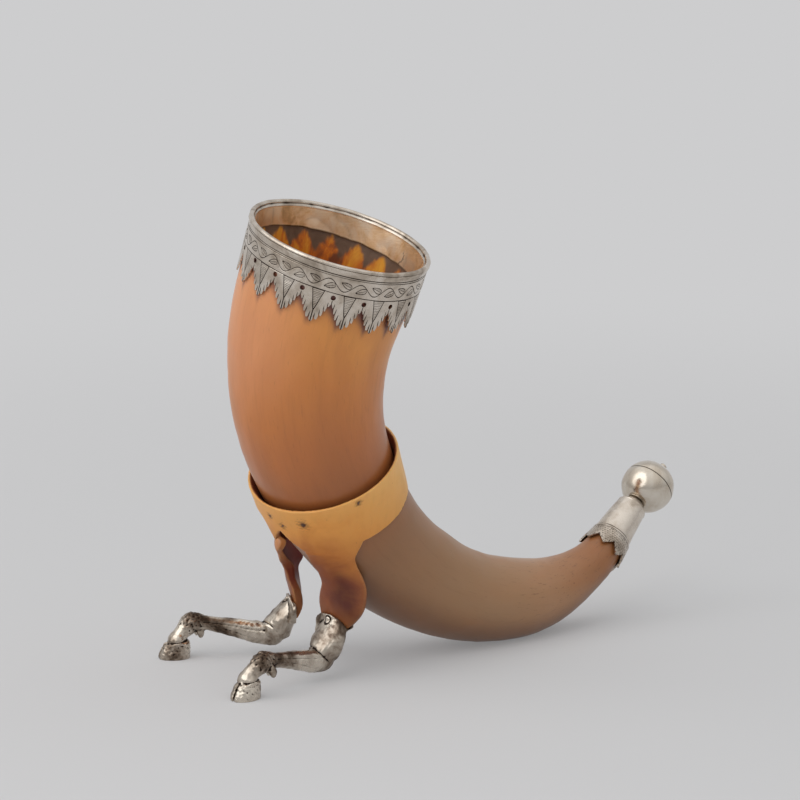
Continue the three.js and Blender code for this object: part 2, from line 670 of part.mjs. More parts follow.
function makeLeg(side) {
  const dewclaws = [-DEWCLAW_SPREAD, DEWCLAW_SPREAD].map((spread) =>
    limb(DEWCLAW.map((joint) => ({ ...joint, out: LEG_PASTERN[1].out + spread })), side, DEWCLAW_SIDES));
  const body = joined([
    makeSocket(side),
    limb(LEG_UPPER, side),
    limb(LEG_CANNON, side),
    limb(LEG_PASTERN, side),
    ...dewclaws,
    makeClaw(side, -1),
    makeClaw(side, 1),
  ]);
  return body.subtract(makeThigh(side, SEAT));
}

// Tip mount
const tip = hornAt(HORN_LENGTH);
const tipAlong = (distance) => tip.centre.clone().addScaledVector(tip.tangent, distance);
const ferruleStart = HORN_LENGTH - FERRULE_LENGTH;
const sleeveLoop = (distance, clearance) => {
  const frame = hornAt(distance);
  return circle(frame, frame.radius + clearance, TIP_SIDES);
};

function skirtNotch() {
  const half = (Math.PI * (hornAt(ferruleStart).radius + SEAT + SHEET)) / SKIRT_TEETH;
  const edge = half - SKIRT_TIP_WIDTH / 2;
  const side = [
    [0, 0],
    [0.45 * edge, -0.35 * SKIRT_TOOTH_LENGTH],
    [0.6 * edge, -0.75 * SKIRT_TOOTH_LENGTH],
    [edge, -SKIRT_TOOTH_LENGTH],
    [edge, -SKIRT_TOOTH_LENGTH - 2],
  ];
  const mirrored = side.slice(1).reverse().map(([x, y]) => [-x, y]);
  return [...side, ...mirrored].map(([x, y]) => new THREE.Vector2(x, y));
}

// A cap over the horn's tip, wider towards its open end, which is cut into teeth.
function makeFerrule() {
  const skirtEnd = ferruleStart + SKIRT_LENGTH;
  const middle = (skirtEnd + HORN_LENGTH) / 2;
  const plain = SEAT + SHEET;
  const outside = loft([
    sleeveLoop(ferruleStart, plain + SKIRT_PROUD + SEAT),
    sleeveLoop(skirtEnd, plain + SKIRT_PROUD),
    sleeveLoop(skirtEnd + 0.1, plain),
    sleeveLoop(middle, plain),
    sleeveLoop(HORN_LENGTH + FERRULE_CAP - FERRULE_CAP_ROUND, plain),
    sleeveLoop(HORN_LENGTH + FERRULE_CAP, plain - FERRULE_CAP_ROUND),
  ]);
  const inside = loft([
    sleeveLoop(ferruleStart - 1, 2 * SEAT + SKIRT_PROUD),
    sleeveLoop(skirtEnd, SEAT),
    sleeveLoop(middle, SEAT),
    sleeveLoop(HORN_LENGTH + SEAT, SEAT),
  ]);
  const notch = skirtNotch();
  const apex = hornAt(ferruleStart + SKIRT_TOOTH_LENGTH);
  const reach = 2;
  const cuts = Array.from({ length: SKIRT_TEETH }, (_, i) => {
    const angle = ((i + 0.5) / SKIRT_TEETH) * 2 * Math.PI;
    const out = ringPoint(apex, angle, 1).sub(apex.centre);
    const origin = ringPoint(apex, angle, apex.radius - reach);
    return prism(notch, origin, apex.tangent.clone().cross(out), apex.tangent, 3 * reach);
  });
  const bore = rod(tipAlong(-1), tipAlong(FERRULE_CAP + 1), STUD_DIAMETER / 2 + SEAT);
  return outside.subtract(inside).subtract(joined(cuts)).subtract(bore);
}

const ballRadius = BALL_DIAMETER / 2;
const neckStart = FERRULE_CAP + SEAT;
const ballCentre = tipAlong(
  neckStart + FINIAL_NECK_LENGTH + Math.sqrt(ballRadius ** 2 - FINIAL_SEAT_RADIUS ** 2));

// Half of the hollow ball. Direction 1 is the half with the button, -1 the half on the neck.
function makeHalfBall(direction) {
  const seam = direction * BALL_SEAM + SEAT / 2;
  const bore = STUD_DIAMETER / 2 + SEAT;
  const inside = ballRadius - BALL_SHEET;
  const arc = (radius, from, to) =>
    steps(4, from, to).map((angle) => [radius * Math.cos(angle), radius * Math.sin(angle)]);
  const profile = [
    ...arc(ballRadius, Math.asin(seam / ballRadius), Math.acos(bore / ballRadius)),
    ...arc(inside, Math.acos(bore / inside), Math.asin(seam / inside)),
  ];
  profile.push(profile[0]);
  return turned(profile, ballCentre, tip.tangent.clone().multiplyScalar(direction), TIP_SIDES);
}

function makeNeck() {
  const bore = STUD_DIAMETER / 2 + SEAT;
  const top = FINIAL_NECK_LENGTH - SEAT;
  const profile = [
    [bore, 0],
    [FINIAL_NECK_RADIUS, 0],
    [FINIAL_NECK_WAIST, 0.5 * top],
    [FINIAL_SEAT_RADIUS, top],
    [bore, top - SEAT],
    [bore, 0],
  ];
  return turned(profile, tipAlong(neckStart), tip.tangent, TIP_SIDES);
}

function makeButton() {
  const start = ballCentre.clone().addScaledVector(tip.tangent, ballRadius + SEAT);
  const profile = [
    [0, 0],
    [BUTTON_RADIUS, 0],
    [BUTTON_RADIUS, 0.5 * BUTTON_HEIGHT],
    [0.8 * BUTTON_RADIUS, 0.85 * BUTTON_HEIGHT],
    [0, BUTTON_HEIGHT],
  ];
  return turned(profile, start, tip.tangent, 2 * PIN_SIDES);
}

function makeStud(clearance = 0) {
  const end = ballCentre.clone().addScaledVector(tip.tangent, ballRadius);
  return rod(tipAlong(-STUD_IN_HORN - clearance), end, STUD_DIAMETER / 2 + clearance);
}

// Pins
function makeCollarPin({ depth, turn, diameter }, clearance = 0) {
  const frame = beltFrame(depth);
  const angle = radians(turn);
  const inside = frame.radius - COLLAR_WALL - COLLAR_GAP - COLLAR_PIN_DEPTH - clearance;
  const outside = frame.radius + COLLAR_PIN_PROUD + 3 * clearance;
  return rod(
    ringPoint(frame, angle, inside),
    ringPoint(frame, angle, outside),
    diameter / 2 + clearance);
}

// A rivet goes through the socket and the thigh. Its head stands on the socket's outer face.
function makeRivet(side, clearance = 0) {
  const row = thighRow(THIGH_ROWS[RIVET_ROW], side);
  const at = row.centre.clone().addScaledVector(row.along, RIVET_AT.along).setZ(RIVET_AT.z);
  const half = row.wall / 2 + SEAT + SOCKET_WALL;
  const point = (distance) => at.clone().addScaledVector(row.out, distance);
  const inner = point(-half - clearance);
  return rod(inner, point(half + RIVET_HEAD_HEIGHT + 3 * clearance), RIVET_DIAMETER / 2 + clearance);
}

// Finishes
const finish = (color, roughness, metalness) =>
  new THREE.MeshStandardMaterial({ color, roughness, metalness });
const finishes = {
  horn: finish(0xa86a3c, 0.32, 0),
  collar: finish(0xc4935a, 0.4, 0),
  silver: finish(0xb9b2a8, 0.32, 1),
};

const drinkingHorn = new THREE.Group();
drinkingHorn.name = "drinking_horn";

function addPiece(name, solid, material) {
  const mesh = solid.getMesh();
  const stride = mesh.numProp;
  const positions = new Float32Array(mesh.numVert * 3);
  for (let i = 0; i < mesh.numVert; i++) {
    positions.set(mesh.vertProperties.subarray(i * stride, i * stride + 3), i * 3);
  }
  const geometry = new THREE.BufferGeometry();
  geometry.setAttribute("position", new THREE.BufferAttribute(positions, 3));
  geometry.setIndex(new THREE.BufferAttribute(mesh.triVerts, 1));
  geometry.computeVertexNormals();
  const piece = new THREE.Mesh(geometry, material);
  piece.name = name;
  drinkingHorn.add(piece);
}

const collarPinHoles = joined(COLLAR_PINS.map((pin) => makeCollarPin(pin, SEAT)));
const rivetHoles = joined([makeRivet(-1, SEAT), makeRivet(1, SEAT)]);

addPiece("horn_body", makeHorn().subtract(collarPinHoles).subtract(makeStud(SEAT)), finishes.horn);
addPiece("rim_band", makeRimBand(), finishes.silver);
addPiece("rim_lip", makeRimLip(), finishes.silver);
addPiece("rim_liner", makeRimLiner(), finishes.silver);

const collar = joined([makeBelt(), makeThigh(-1), makeThigh(1)])
  .subtract(makeNotch())
  .subtract(hornGrown(SEAT))
  .subtract(collarPinHoles)
  .subtract(rivetHoles);
addPiece("stand_collar", collar, finishes.collar);
for (const pin of COLLAR_PINS) addPiece(pin.name, makeCollarPin(pin), finishes.silver);

for (const [name, side] of [["near", -1], ["far", 1]]) {
  addPiece(name + "_leg", makeLeg(side).subtract(rivetHoles), finishes.silver);
  addPiece(name + "_leg_rivet", makeRivet(side), finishes.silver);
}

addPiece("tip_ferrule", makeFerrule(), finishes.silver);
addPiece("finial_neck", makeNeck(), finishes.silver);
addPiece("finial_stud", makeStud(), finishes.silver);
addPiece("finial_ball_lower", makeHalfBall(-1), finishes.silver);
addPiece("finial_ball_upper", makeHalfBall(1), finishes.silver);
addPiece("finial_button", makeButton(), finishes.silver);

export default drinkingHorn;
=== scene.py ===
"""A drinking horn with silver mounts, dressed round its CAD frame.

Sizes are in millimetres in the code and become metres where a mesh is made.
"""
import math

import bpy
import numpy as np
from mathutils import Matrix, Vector


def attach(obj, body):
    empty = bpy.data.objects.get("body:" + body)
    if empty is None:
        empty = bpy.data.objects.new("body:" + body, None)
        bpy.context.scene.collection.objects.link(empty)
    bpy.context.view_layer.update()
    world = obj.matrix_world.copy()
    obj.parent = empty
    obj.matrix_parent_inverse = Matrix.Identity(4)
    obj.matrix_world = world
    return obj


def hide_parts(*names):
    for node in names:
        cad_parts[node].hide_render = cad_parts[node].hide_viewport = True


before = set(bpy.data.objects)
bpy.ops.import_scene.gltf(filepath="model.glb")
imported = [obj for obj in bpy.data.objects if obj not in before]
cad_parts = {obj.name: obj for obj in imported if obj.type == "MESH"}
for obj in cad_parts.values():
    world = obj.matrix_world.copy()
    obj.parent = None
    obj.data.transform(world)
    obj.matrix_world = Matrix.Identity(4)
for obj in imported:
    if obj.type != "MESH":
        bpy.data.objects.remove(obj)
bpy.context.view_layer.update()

MM = 0.001

# Horn: centre line from mouth to tip, and radius as a share of the mouth's.
HORN_MOUTH_RADIUS = 33.6
HORN_LINE = [
    (-93, -36.5, 172), (-100, -24.5, 131), (-93.5, -16.5, 92.5), (-68, -9.5, 51.5),
    (-30, -4, 24.5), (9, 1.5, 16), (42, 8, 23.5), (69, 19, 42),
]
HORN_SHARES = [1, 0.91, 0.815, 0.696, 0.57, 0.464, 0.277, 0.167]
BELLY_WEAR = 0.4
HORN_SIDES = 160
HORN_STEP = 1.3  # distance between the outer rings
FLAME_RISE = 5.5  # light leaks this far up behind the band
HORN_EDGE_WALL = 0.7
HORN_WALL = 2.6
HORN_WALL_DEEP = 4.6
HORN_THINNED_LENGTH = 16
HOLLOW_LENGTH = 186
HOLLOW_TAPER_LENGTH = 26

SEAT = 0.3
RIM_SEAT = 0.2
SHEET = 0.6
SHEET_RELIEF = 0.12

# Rim mount.
BAND_DEPTH = 21.8
BAND_TAPER = 0.6
TOOTH_COUNT = 18
TOOTH_LENGTH = 9
TOOTH_TURN = math.radians(2.7)
TOOTH_PITCH = 2 * math.pi / TOOTH_COUNT
BAND_SKEW = 1
BAND_SKEW_TURN = math.radians(207)
LEAF_FINGERS = 4.5
FINGER_LENGTH = 2.7
FINGER_FAN = 1.3
LEAF_FULLNESS = 1.25
PIERCING_RADIUS = 0.95
PIERCING_ABOVE_NOTCH = 2.3
LIP_HEIGHT = 2.3
LIP_OVERHANG = 0.6
LIP_BEAD = 0.95
LINER_DEPTH = 8
LINER_RADIUS = 33
LINER_SHEET = 0.3
BORDER_LINES = (1.5, 2.2, 8.7)
BORDER_WIDTHS = (0.26, 0.18, 0.26)
WEDGE_HALF = 2.3
WEDGE_POINT = 17.2
HATCH_PITCH = 0.62
LEAF_LINES_FROM = 10.6
VINE_REACH = 1.9
VINE_LEAF_LENGTH = 4.3
VINE_LEAF_HALF = 1.0
VINE_LEAF_SLOPE = 0.36
ENGRAVING_DEPTH = 0.12
BORDER_ZONE = 11.4
COLUMNS_PER_TOOTH = 110

# Collar.
COLLAR_FROM_MOUTH = 93.2
COLLAR_LEAN = math.radians(7)
COLLAR_PITCH = math.radians(2)
COLLAR_GAP = 1.8
COLLAR_EDGE_WALL = 1.3
COLLAR_WALL = 2.8
BELT_HEIGHT = 20.5
BELT_TAPER = 0.8
BELT_EDGE_SHARE = 0.25
NOTCH_RISE = 8.6
NOTCH_TURN = math.radians(15)
NOTCH_APEX_SHARE = 0.03
NOTCH_NEAR = (8.2, 1.2)
NOTCH_FAR = (7, 0.8)

# How far the front of the belt and of the far thigh sway back (heights, distances),
# and where it begins along x and along y.
BELT_SWAY = ((47, 51, 54.4, 57.3, 61.6, 66), (4.8, 4, 3.2, 2.8, 1.2, 0))
BELT_SWAY_FROM = (-12, -4)
FAR_SWAY = ((34.2, 36.5, 39.2, 43.6, 46.6, 48.7, 50.5, 52.5, 54.4, 57.3, 61.6, 66),
            (0, -0.8, -1.4, -0.7, -0.6, 0.2, 2.2, 3.8, 3.6, 3.1, 1.5, 0.2))
FAR_SWAY_FROM = (-90, -80)
SWAY_FRONT = (-86, -96)

# Thigh rows: in the belt (share of its height, turn, front, back), then below it
# (z, x, out, turn, front, back, wall, bow).
NEAR_JOINT = [(0.55, 60, -20, 17), (1, 60, -14.4, 10)]
FAR_JOINT = [(0.3, 52, -27, 17), (0.7, 53, -25, 14)]
NEAR_UPPER = [
    (50, -91.4, 30.5, 60, -11.8, 7.2, 3, 34), (46, -90.3, 28.2, 56, -10, 7.6, 3, 34),
    (42, -88.4, 26.5, 51, -8.6, 8.3, 3, 34), (37, -86.6, 24.8, 40, -8.8, 9.6, 3.3, 34),
]
FAR_UPPER = [
    (50, -96.1, 12.5, 28.4, -17.9, 17.9, 3, 90), (46, -93.3, 15.6, 30, -15, 15, 3, 70),
    (42, -89.8, 18.3, 32.7, -12.5, 12.5, 3.5, 50), (37, -85.9, 21.6, 37.5, -10, 10, 4.6, 34),
]
THIGH_ROWS = [
    (32, -86, 22.6, 30, -10.2, 10.8, 3.8, 34), (27.5, -85.7, 20.8, 25, -10.4, 11, 4.1, 34),
    (23.5, -85.2, 19.3, 24, -9.2, 9.4, 4.1, 34), (19.5, -85.6, 17.9, 24, -8, 6.4, 3.6, 34),
    (15.5, -87.2, 16.8, 24, -5.6, 1.6, 2.6, 34),
]
SOCKET_ROW = 3
RIVET_ROW = 2
THIGH_EDGE_SHARE = 0.35
FAR_EDGE_SHARE = 0.75
THIGH_EDGE_WIDTH = 0.2
COLLAR_SKIN = 0.32  # grain of the melted surface

# Dark spot on each thigh: distance along its face and height, then how far it reaches.
SHADE_AT = (3.5, 33)
SHADE_SIZE = (9, 10)

# Legs: joints (x, distance out from the middle, z, half depth, half width).
LEG_UPPER = [
    (-85.6, 18.4, 23, 2.6, 3.2), (-86.6, 18.8, 20.5, 3.5, 5.6), (-88.6, 19.4, 17, 4.4, 7),
    (-91, 20.3, 13, 5.4, 7.2), (-93.2, 21.2, 9, 6, 5.4), (-94.2, 22.2, 4.6, 2.2, 2.4),
]
LEG_CANNON = [
    (-89.2, 20, 8, 2.4, 2.2), (-92.6, 21.4, 8.4, 5.2, 4.3), (-99, 24.2, 8.6, 4.7, 3.8),
    (-109, 28, 11, 3.7, 3.1), (-117.5, 31.2, 12.8, 3, 2.7), (-124.3, 33.2, 13.6, 4, 3.8),
    (-126.9, 33.5, 13.2, 2, 2),
]
LEG_PASTERN = [
    (-123.7, 33.2, 15.2, 2, 2), (-124.3, 33.2, 13.6, 4, 3.8), (-128.4, 32.8, 9.6, 3.2, 3.3),
    (-130.2, 32.8, 6.8, 4, 4.4), (-130.2, 32.8, 3, 3.2, 3.4),
]
DEWCLAW = [(-121.5, 0, 12.4, 1, 1), (-120.9, 0, 9.4, 1.7, 1.7), (-120.7, 0, 7.2, 0.6, 0.6)]
DEWCLAW_SPREAD = 2
HOOF_FORWARD = 1.2
HOOF_LENGTH = 12.35
HOOF_WIDTH = 9.6
HOOF_HEIGHT = 7
HOOF_SPLAY = math.radians(16)
CLEFT_WIDTH = 0.9
# Rows of a hoof (height, size, shift back).
HOOF_ROWS = [(0, 1, 0), (1.2, 1.02, 0), (4, 0.92, 0.6), (6.2, 0.82, 1.3), (7.6, 0.6, 1.8)]
# Grooves round the cannon: turn in degrees and depth.
TENDON_GROOVES = ((-28, 0.225), (152, 0.45), (208, 0.225))
SKIN_GROOVES = ((25, 0.22), (155, 0.22))
SOCKET_WALL = 1.2
LEG_SKIN = 0.26
SOCKET_OUTLINE = [
    (-18, 9), (-11, 18.2), (-8.4, 22.6), (-5, 24.5), (0, 24.4), (2.2, 23.4),
    (5.2, 20.4), (8.6, 16.6), (8.8, 14), (-2, 9),
]
FAR_CHEEK_CUT = [(-20, 34), (-20, 10.5), (20, 10.5), (20, 34)]

# Rivets and pins. A pin has its distance below the belt's upper edge, its turn and
# the radius of its head; a place on a thigh's face is the distance along it and its height.
RIVET_RADIUS = 1.1
RIVET_HEAD_HEIGHT = 0.5
RIVET_AT = (-2.6, 22.4)
COLLAR_PIN_DEPTH = 2
PIN_CROWN = 0.35
PIN_WEAR = 0.62  # share of each head's radius that is left
COLLAR_PINS = {
    "collar_pin_near": (6.5, -39, 1.2),
    "collar_pin_side": (2.4, -84, 0.8),
    "collar_pin_front_upper": (5.6, -8.7, 0.8),
    "collar_pin_front_lower": (8.6, -20, 0.8),
    "collar_pin_far": (6, 95, 0.8),
}

# Tip mount.
FERRULE_LENGTH = 27
SKIRT_LENGTH = 10.5
SKIRT_PROUD = 0.5
SKIRT_TEETH = 8
SKIRT_TOOTH_LENGTH = 4.4
SKIRT_SCALE = 1.1
FERRULE_CAP = 1.4
FERRULE_CAP_ROUND = 0.5
NECK_LENGTH = 2.2
NECK_RADIUS = 5.1
NECK_WAIST = 5
NECK_TOP = 4.4
NECK_SEAT = 3.3
BALL_RADIUS = 11
BALL_SEAM = 1
BALL_SHEET = 0.8
BUTTON_RADIUS = 1.7
BUTTON_HEIGHT = 2.9
STUD_RADIUS = 1.5

# Camera: turn and height of the view, distance and the point it looks at.
CAMERA_AZIMUTH = math.radians(-27.6)
CAMERA_ELEVATION = math.radians(10.8)
CAMERA_DISTANCE = 1300
CAMERA_TARGET = np.array([-48.9, -0.6, 101.6])
CAMERA_LENS = 150
VIEW_BACK = np.array([math.sin(CAMERA_AZIMUTH), -math.cos(CAMERA_AZIMUTH), 0])
VIEW_RIGHT = np.array([math.cos(CAMERA_AZIMUTH), math.sin(CAMERA_AZIMUTH), 0])

# Lamp: metres to the right of the object, towards the camera and up, its width and watts.
# Sky: its strength below and above.
LAMP_PLACE = (-1.1, 0.8, 1.2)
LAMP_SIZE = 2.4
LAMP_POWER = 15
SKY_STRENGTH = (0.42, 0.98)


# Vectors and curves

def unit(v):
    v = np.asarray(v, float)
    return v / np.linalg.norm(v, axis=-1, keepdims=True)


def spline(points, t):
    """Uniform Catmull-Rom curve through the points, t from 0 to 1."""
    p = np.asarray(points, float)
    if p.ndim == 1:
        p = p[:, None]
    t = np.atleast_1d(np.asarray(t, float))
    spans = len(p) - 1
    p = np.vstack([2 * p[0] - p[1], p, 2 * p[-1] - p[-2]])
    k = np.clip(np.floor(t * spans).astype(int), 0, spans - 1)
    w = (t * spans - k)[:, None]
    a, b, c, d = p[k], p[k + 1], p[k + 2], p[k + 3]
    m, n = 0.5 * (c - a), 0.5 * (d - b)
    return b + m * w + (3 * (c - b) - 2 * m - n) * w**2 + (2 * (b - c) + m + n) * w**3


def heading(points, t):
    """Direction of the curve through the points."""
    low, high = np.clip(t - 1e-4, 0, 1), np.clip(t + 1e-4, 0, 1)
    return unit(spline(points, high) - spline(points, low))


def smoothstep(low, high, x):
    t = np.clip((x - low) / (high - low), 0, 1)
    return t * t * (3 - 2 * t)


def near(points, place, far, close):
    """1 close to a place, and 0 far from it."""
    return smoothstep(far, close, np.linalg.norm(points - place, axis=-1))


def hump(distance, width):
    """1 at no distance, falling smoothly to 0."""
    return np.exp(-((distance / width) ** 2))


def circle(count):
    return np.linspace(0, 2 * math.pi, count, endpoint=False)


def turn_from(start, angle):
    """Turn from one angle to another by the shorter way."""
    return (angle - start + math.pi) % (2 * math.pi) - math.pi


def arc(x, y, across, up, start, end, count):
    """Points on an ellipse about (x, y), from one angle to another."""
    return [(x + across * math.cos(a), y + up * math.sin(a))
            for a in np.linspace(start, end, count)]


def turn_about(v, axis, angle):
    return np.array(Matrix.Rotation(angle, 3, Vector(axis)) @ Vector(v))


def split(points, origin, axis):
    """How far points lie along an axis, and their offsets square to it."""
    offset = points - origin
    along = offset @ axis
    return along, offset - np.outer(along, axis)


def wobble(points, wavelength, seed):
    """Smooth random field between about -1 and 1, alike on every run."""
    waves = 14
    rng = np.random.default_rng(seed)
    directions = unit(rng.normal(size=(waves, 3)))
    numbers = 2 * math.pi / (wavelength * rng.uniform(0.6, 1.6, waves))
    phases = rng.uniform(0, 2 * math.pi, waves)
    field = np.sin(points @ (directions * numbers[:, None]).T + phases)
    return field.sum(axis=-1) * math.sqrt(2 / waves) * 0.6


class Line:
    """The horn's centre line by distance from the mouth."""

    def __init__(self):
        self.points = np.array(HORN_LINE, float)
        self.t = np.linspace(0, 1, 4001)
        steps = np.diff(spline(self.points, self.t), axis=0)
        self.s = np.concatenate([[0], np.cumsum(np.linalg.norm(steps, axis=1))])
        self.length = self.s[-1]

    def at(self, distance):
        distance = np.atleast_1d(np.asarray(distance, float))
        inside = np.clip(distance, 0, self.length)
        t = np.interp(inside, self.s, self.t)
        centre = spline(self.points, t)
        tangent = heading(self.points, t)
        centre = centre + tangent * (distance - inside)[:, None]
        side = unit(np.array([0, 1, 0]) - tangent * tangent[:, 1:2])
        belly = np.cross(side, tangent)
        radius = HORN_MOUTH_RADIUS * spline(HORN_SHARES, t)[:, 0]
        return centre, tangent, side, belly, radius


line = Line()
centre, tangent, _, _, radius = line.at(np.linspace(0, line.length, 2001))
down = unit(np.array([0, 0, -1]) + tangent * tangent[:, 2:3])
bottom = centre + down * radius[:, None]
line.points -= bottom[np.argmin(bottom[:, 2])] + np.array([0, 0, BELLY_WEAR])


def spokes(distances, angles):
    """Middles on the horn's line, and directions away from it, for a grid of places."""
    centre, _, side, belly, _ = line.at(distances.ravel())
    a = np.tile(angles, len(distances))[:, None]
    around = belly * np.cos(a) + side * np.sin(a)
    return centre.reshape(*distances.shape, 3), around.reshape(*distances.shape, 3)


def rings(distances, radii, sides):
    """Rings of points square to the horn's line, shape (rings, sides, 3)."""
    centre, around = spokes(np.repeat(distances[:, None], sides, axis=1), circle(sides))
    return centre + around * radii[:, None, None]


def horn_wall(distance):
    thin = HORN_EDGE_WALL + (HORN_WALL - HORN_EDGE_WALL) * distance / HORN_THINNED_LENGTH
    share = (distance - HORN_THINNED_LENGTH) / (HOLLOW_LENGTH - HORN_THINNED_LENGTH)
    deep = HORN_WALL + (HORN_WALL_DEEP - HORN_WALL) * share
    return np.where(distance < HORN_THINNED_LENGTH, thin, deep)


def hollow_radius(distance):
    full = line.at(distance)[4] - horn_wall(distance)
    closing = (distance - (HOLLOW_LENGTH - HOLLOW_TAPER_LENGTH)) / HOLLOW_TAPER_LENGTH
    return full * np.sqrt(1 - np.clip(closing, 0, 1) ** 2)


# Meshes

def grid_faces(rows, columns, first=0, closed=True):
    i, j = np.meshgrid(np.arange(rows - 1), np.arange(columns if closed else columns - 1),
                       indexing="ij")
    k = (j + 1) % columns
    quads = np.stack([i * columns + j, i * columns + k, (i + 1) * columns + k,
                      (i + 1) * columns + j], axis=-1)
    return quads.reshape(-1, 4) + first


def new_object(name, points, faces):
    mesh = bpy.data.meshes.new(name)
    mesh.from_pydata((np.asarray(points).reshape(-1, 3) * MM).tolist(), [],
                     [list(map(int, f)) for f in faces])
    mesh.validate()
    mesh.update()
    obj = bpy.data.objects.new(name, mesh)
    bpy.context.scene.collection.objects.link(obj)
    return obj


def face_out(obj):
    """Turns the faces so that the solid's volume is positive."""
    mesh = obj.data
    mesh.calc_loop_triangles()
    tris = np.zeros(len(mesh.loop_triangles) * 3, np.int32)
    mesh.loop_triangles.foreach_get("vertices", tris)
    co = points_of(obj)[tris.reshape(-1, 3)]
    volume = np.einsum("ij,ij->i", co[:, 0], np.cross(co[:, 1], co[:, 2])).sum()
    if volume < 0:
        mesh.flip_normals()
    return obj


def points_of(obj):
    co = np.zeros(len(obj.data.vertices) * 3)
    obj.data.vertices.foreach_get("co", co)
    return co.reshape(-1, 3) / MM


def set_points(obj, points):
    obj.data.vertices.foreach_set("co", (np.asarray(points) * MM).ravel())
    obj.data.update()


def normals_of(obj):
    n = np.zeros(len(obj.data.vertices) * 3)
    obj.data.vertex_normals.foreach_get("vector", n)
    return n.reshape(-1, 3)


def add_numbers(obj, **fields):
    """Stores a number for each point, or three, under each name."""
    for name, values in fields.items():
        values = np.asarray(values, float)
        vector = values.size == 3 * len(obj.data.vertices)
        made = obj.data.attributes.new(name, "FLOAT_VECTOR" if vector else "FLOAT", "POINT")
        made.data.foreach_set("vector" if vector else "value", values.ravel())


def loft(name, loops):
    """Closed solid through rings of points, with flat ends."""
    loops = np.asarray(loops)
    rows, columns = loops.shape[:2]
    faces = [*grid_faces(rows, columns), list(range(columns))[::-1],
             list(range((rows - 1) * columns, rows * columns))]
    return face_out(new_object(name, loops, faces))


def ring_loft(name, loops):
    """Closed ring through rings of points: the last joins the first."""
    loops = np.asarray(loops)
    rows, columns = loops.shape[:2]
    faces = grid_faces(rows + 1, columns) % (rows * columns)
    return face_out(new_object(name, loops, faces))


def turned(name, profile, origin, axis, sides):
    """A closed profile of (radius, height) turned about an axis."""
    axis = unit(axis)
    across = unit(np.cross(axis, [0.3, 1, 0.2]))
    other = np.cross(axis, across)
    a = circle(sides)
    around = across * np.cos(a)[:, None] + other * np.sin(a)[:, None]
    profile = np.asarray(profile, float)
    loops = (np.asarray(origin) + around[None] * profile[:, 0][:, None, None]
             + axis * profile[:, 1][:, None, None])
    if profile[0, 0] < 1e-6:
        points = [loops[0, 0], *loops[1:-1].reshape(-1, 3), loops[-1, 0]]
        count = len(profile) - 2
        faces = [*grid_faces(count, sides, 1)]
        last = 1 + (count - 1) * sides
        for j in range(sides):
            k = (j + 1) % sides
            faces.append([0, 1 + k, 1 + j])
            faces.append([last + j, last + k, len(points) - 1])
        return face_out(new_object(name, points, faces))
    return ring_loft(name, loops)


def sheet(name, outer, inner, cuts, keep=None):
    """Metal sheet between two grids of points, joined along every free edge."""
    rows, columns = outer.shape[:2]
    count = rows * columns
    faces = grid_faces(rows, columns)
    if keep is not None:
        faces = faces[keep.ravel()]
    edges = np.concatenate([faces[:, [k, (k + 1) % 4]] for k in range(4)])
    keys = np.sort(edges, axis=1)
    _, where, uses = np.unique(keys, axis=0, return_index=True, return_counts=True)
    free = edges[where[uses == 1]]
    walls = np.stack([free[:, 1], free[:, 0], free[:, 0] + count, free[:, 1] + count], axis=1)
    points = np.concatenate([outer.reshape(-1, 3), inner.reshape(-1, 3)])
    every = np.concatenate([faces, faces[:, ::-1] + count, walls])
    used = np.unique(every)
    place = np.full(2 * count, -1)
    place[used] = np.arange(len(used))
    obj = face_out(new_object(name, points[used], place[every]))
    add_numbers(obj, cut=np.concatenate(cuts).ravel()[used])
    return add_recess(obj, 6, SHEET_RELIEF)


def combine(base, tool, operation):
    """Joins, cuts or intersects two solids, and removes the tool."""
    change = base.modifiers.new("combine", "BOOLEAN")
    change.object = tool
    change.operation = operation
    change.solver = "MANIFOLD"
    apply_modifiers(base)
    bpy.data.objects.remove(tool)
    return base


def apply_modifiers(obj):
    bpy.context.view_layer.update()
    graph = bpy.context.evaluated_depsgraph_get()
    mesh = bpy.data.meshes.new_from_object(obj.evaluated_get(graph))
    obj.modifiers.clear()
    obj.data = mesh
    return obj


def melt(obj, voxel, passes):
    """Makes one even skin with softened edges."""
    change = obj.modifiers.new("remesh", "REMESH")
    change.mode = "VOXEL"
    change.voxel_size = voxel * MM
    change = obj.modifiers.new("smooth", "SMOOTH")
    change.factor = 0.5
    change.iterations = passes
    return apply_modifiers(obj)


def add_recess(obj, passes, scale):
    """Writes how far each point lies below (positive) or above its surroundings."""
    mesh = obj.data
    edges = np.zeros(len(mesh.edges) * 2, np.int32)
    mesh.edges.foreach_get("vertices", edges)
    a, b = edges.reshape(-1, 2).T
    start = points_of(obj)
    count = np.bincount(a, minlength=len(start)) + np.bincount(b, minlength=len(start))
    count = np.maximum(count, 1)
    smooth = start.copy()
    for _ in range(passes):
        mean = np.stack([
            np.bincount(a, smooth[b, k], len(start)) + np.bincount(b, smooth[a, k], len(start))
            for k in range(3)], axis=1) / count[:, None]
        smooth = 0.4 * smooth + 0.6 * mean
    drop = np.einsum("ij,ij->i", smooth - start, normals_of(obj)) / scale
    add_numbers(obj, recess=np.clip(drop, -1, 1))
    return obj


def set_shape(obj, points, passes, scale):
    """Moves the points, then writes how deep each one lies."""
    set_points(obj, points)
    return add_recess(obj, passes, scale)


def dress(obj, node, slot, *materials, crease=40):
    """Gives a piece its finish and ties it to the node that it replaces."""
    obj.name = node + "_visual"
    obj.data.materials.clear()
    for material in materials:
        obj.data.materials.append(material)
    obj.data.polygons.foreach_set("use_smooth", [True] * len(obj.data.polygons))
    obj.data.set_sharp_from_angle(angle=math.radians(crease))
    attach(obj, "root")
    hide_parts(node)
    return obj


# Materials

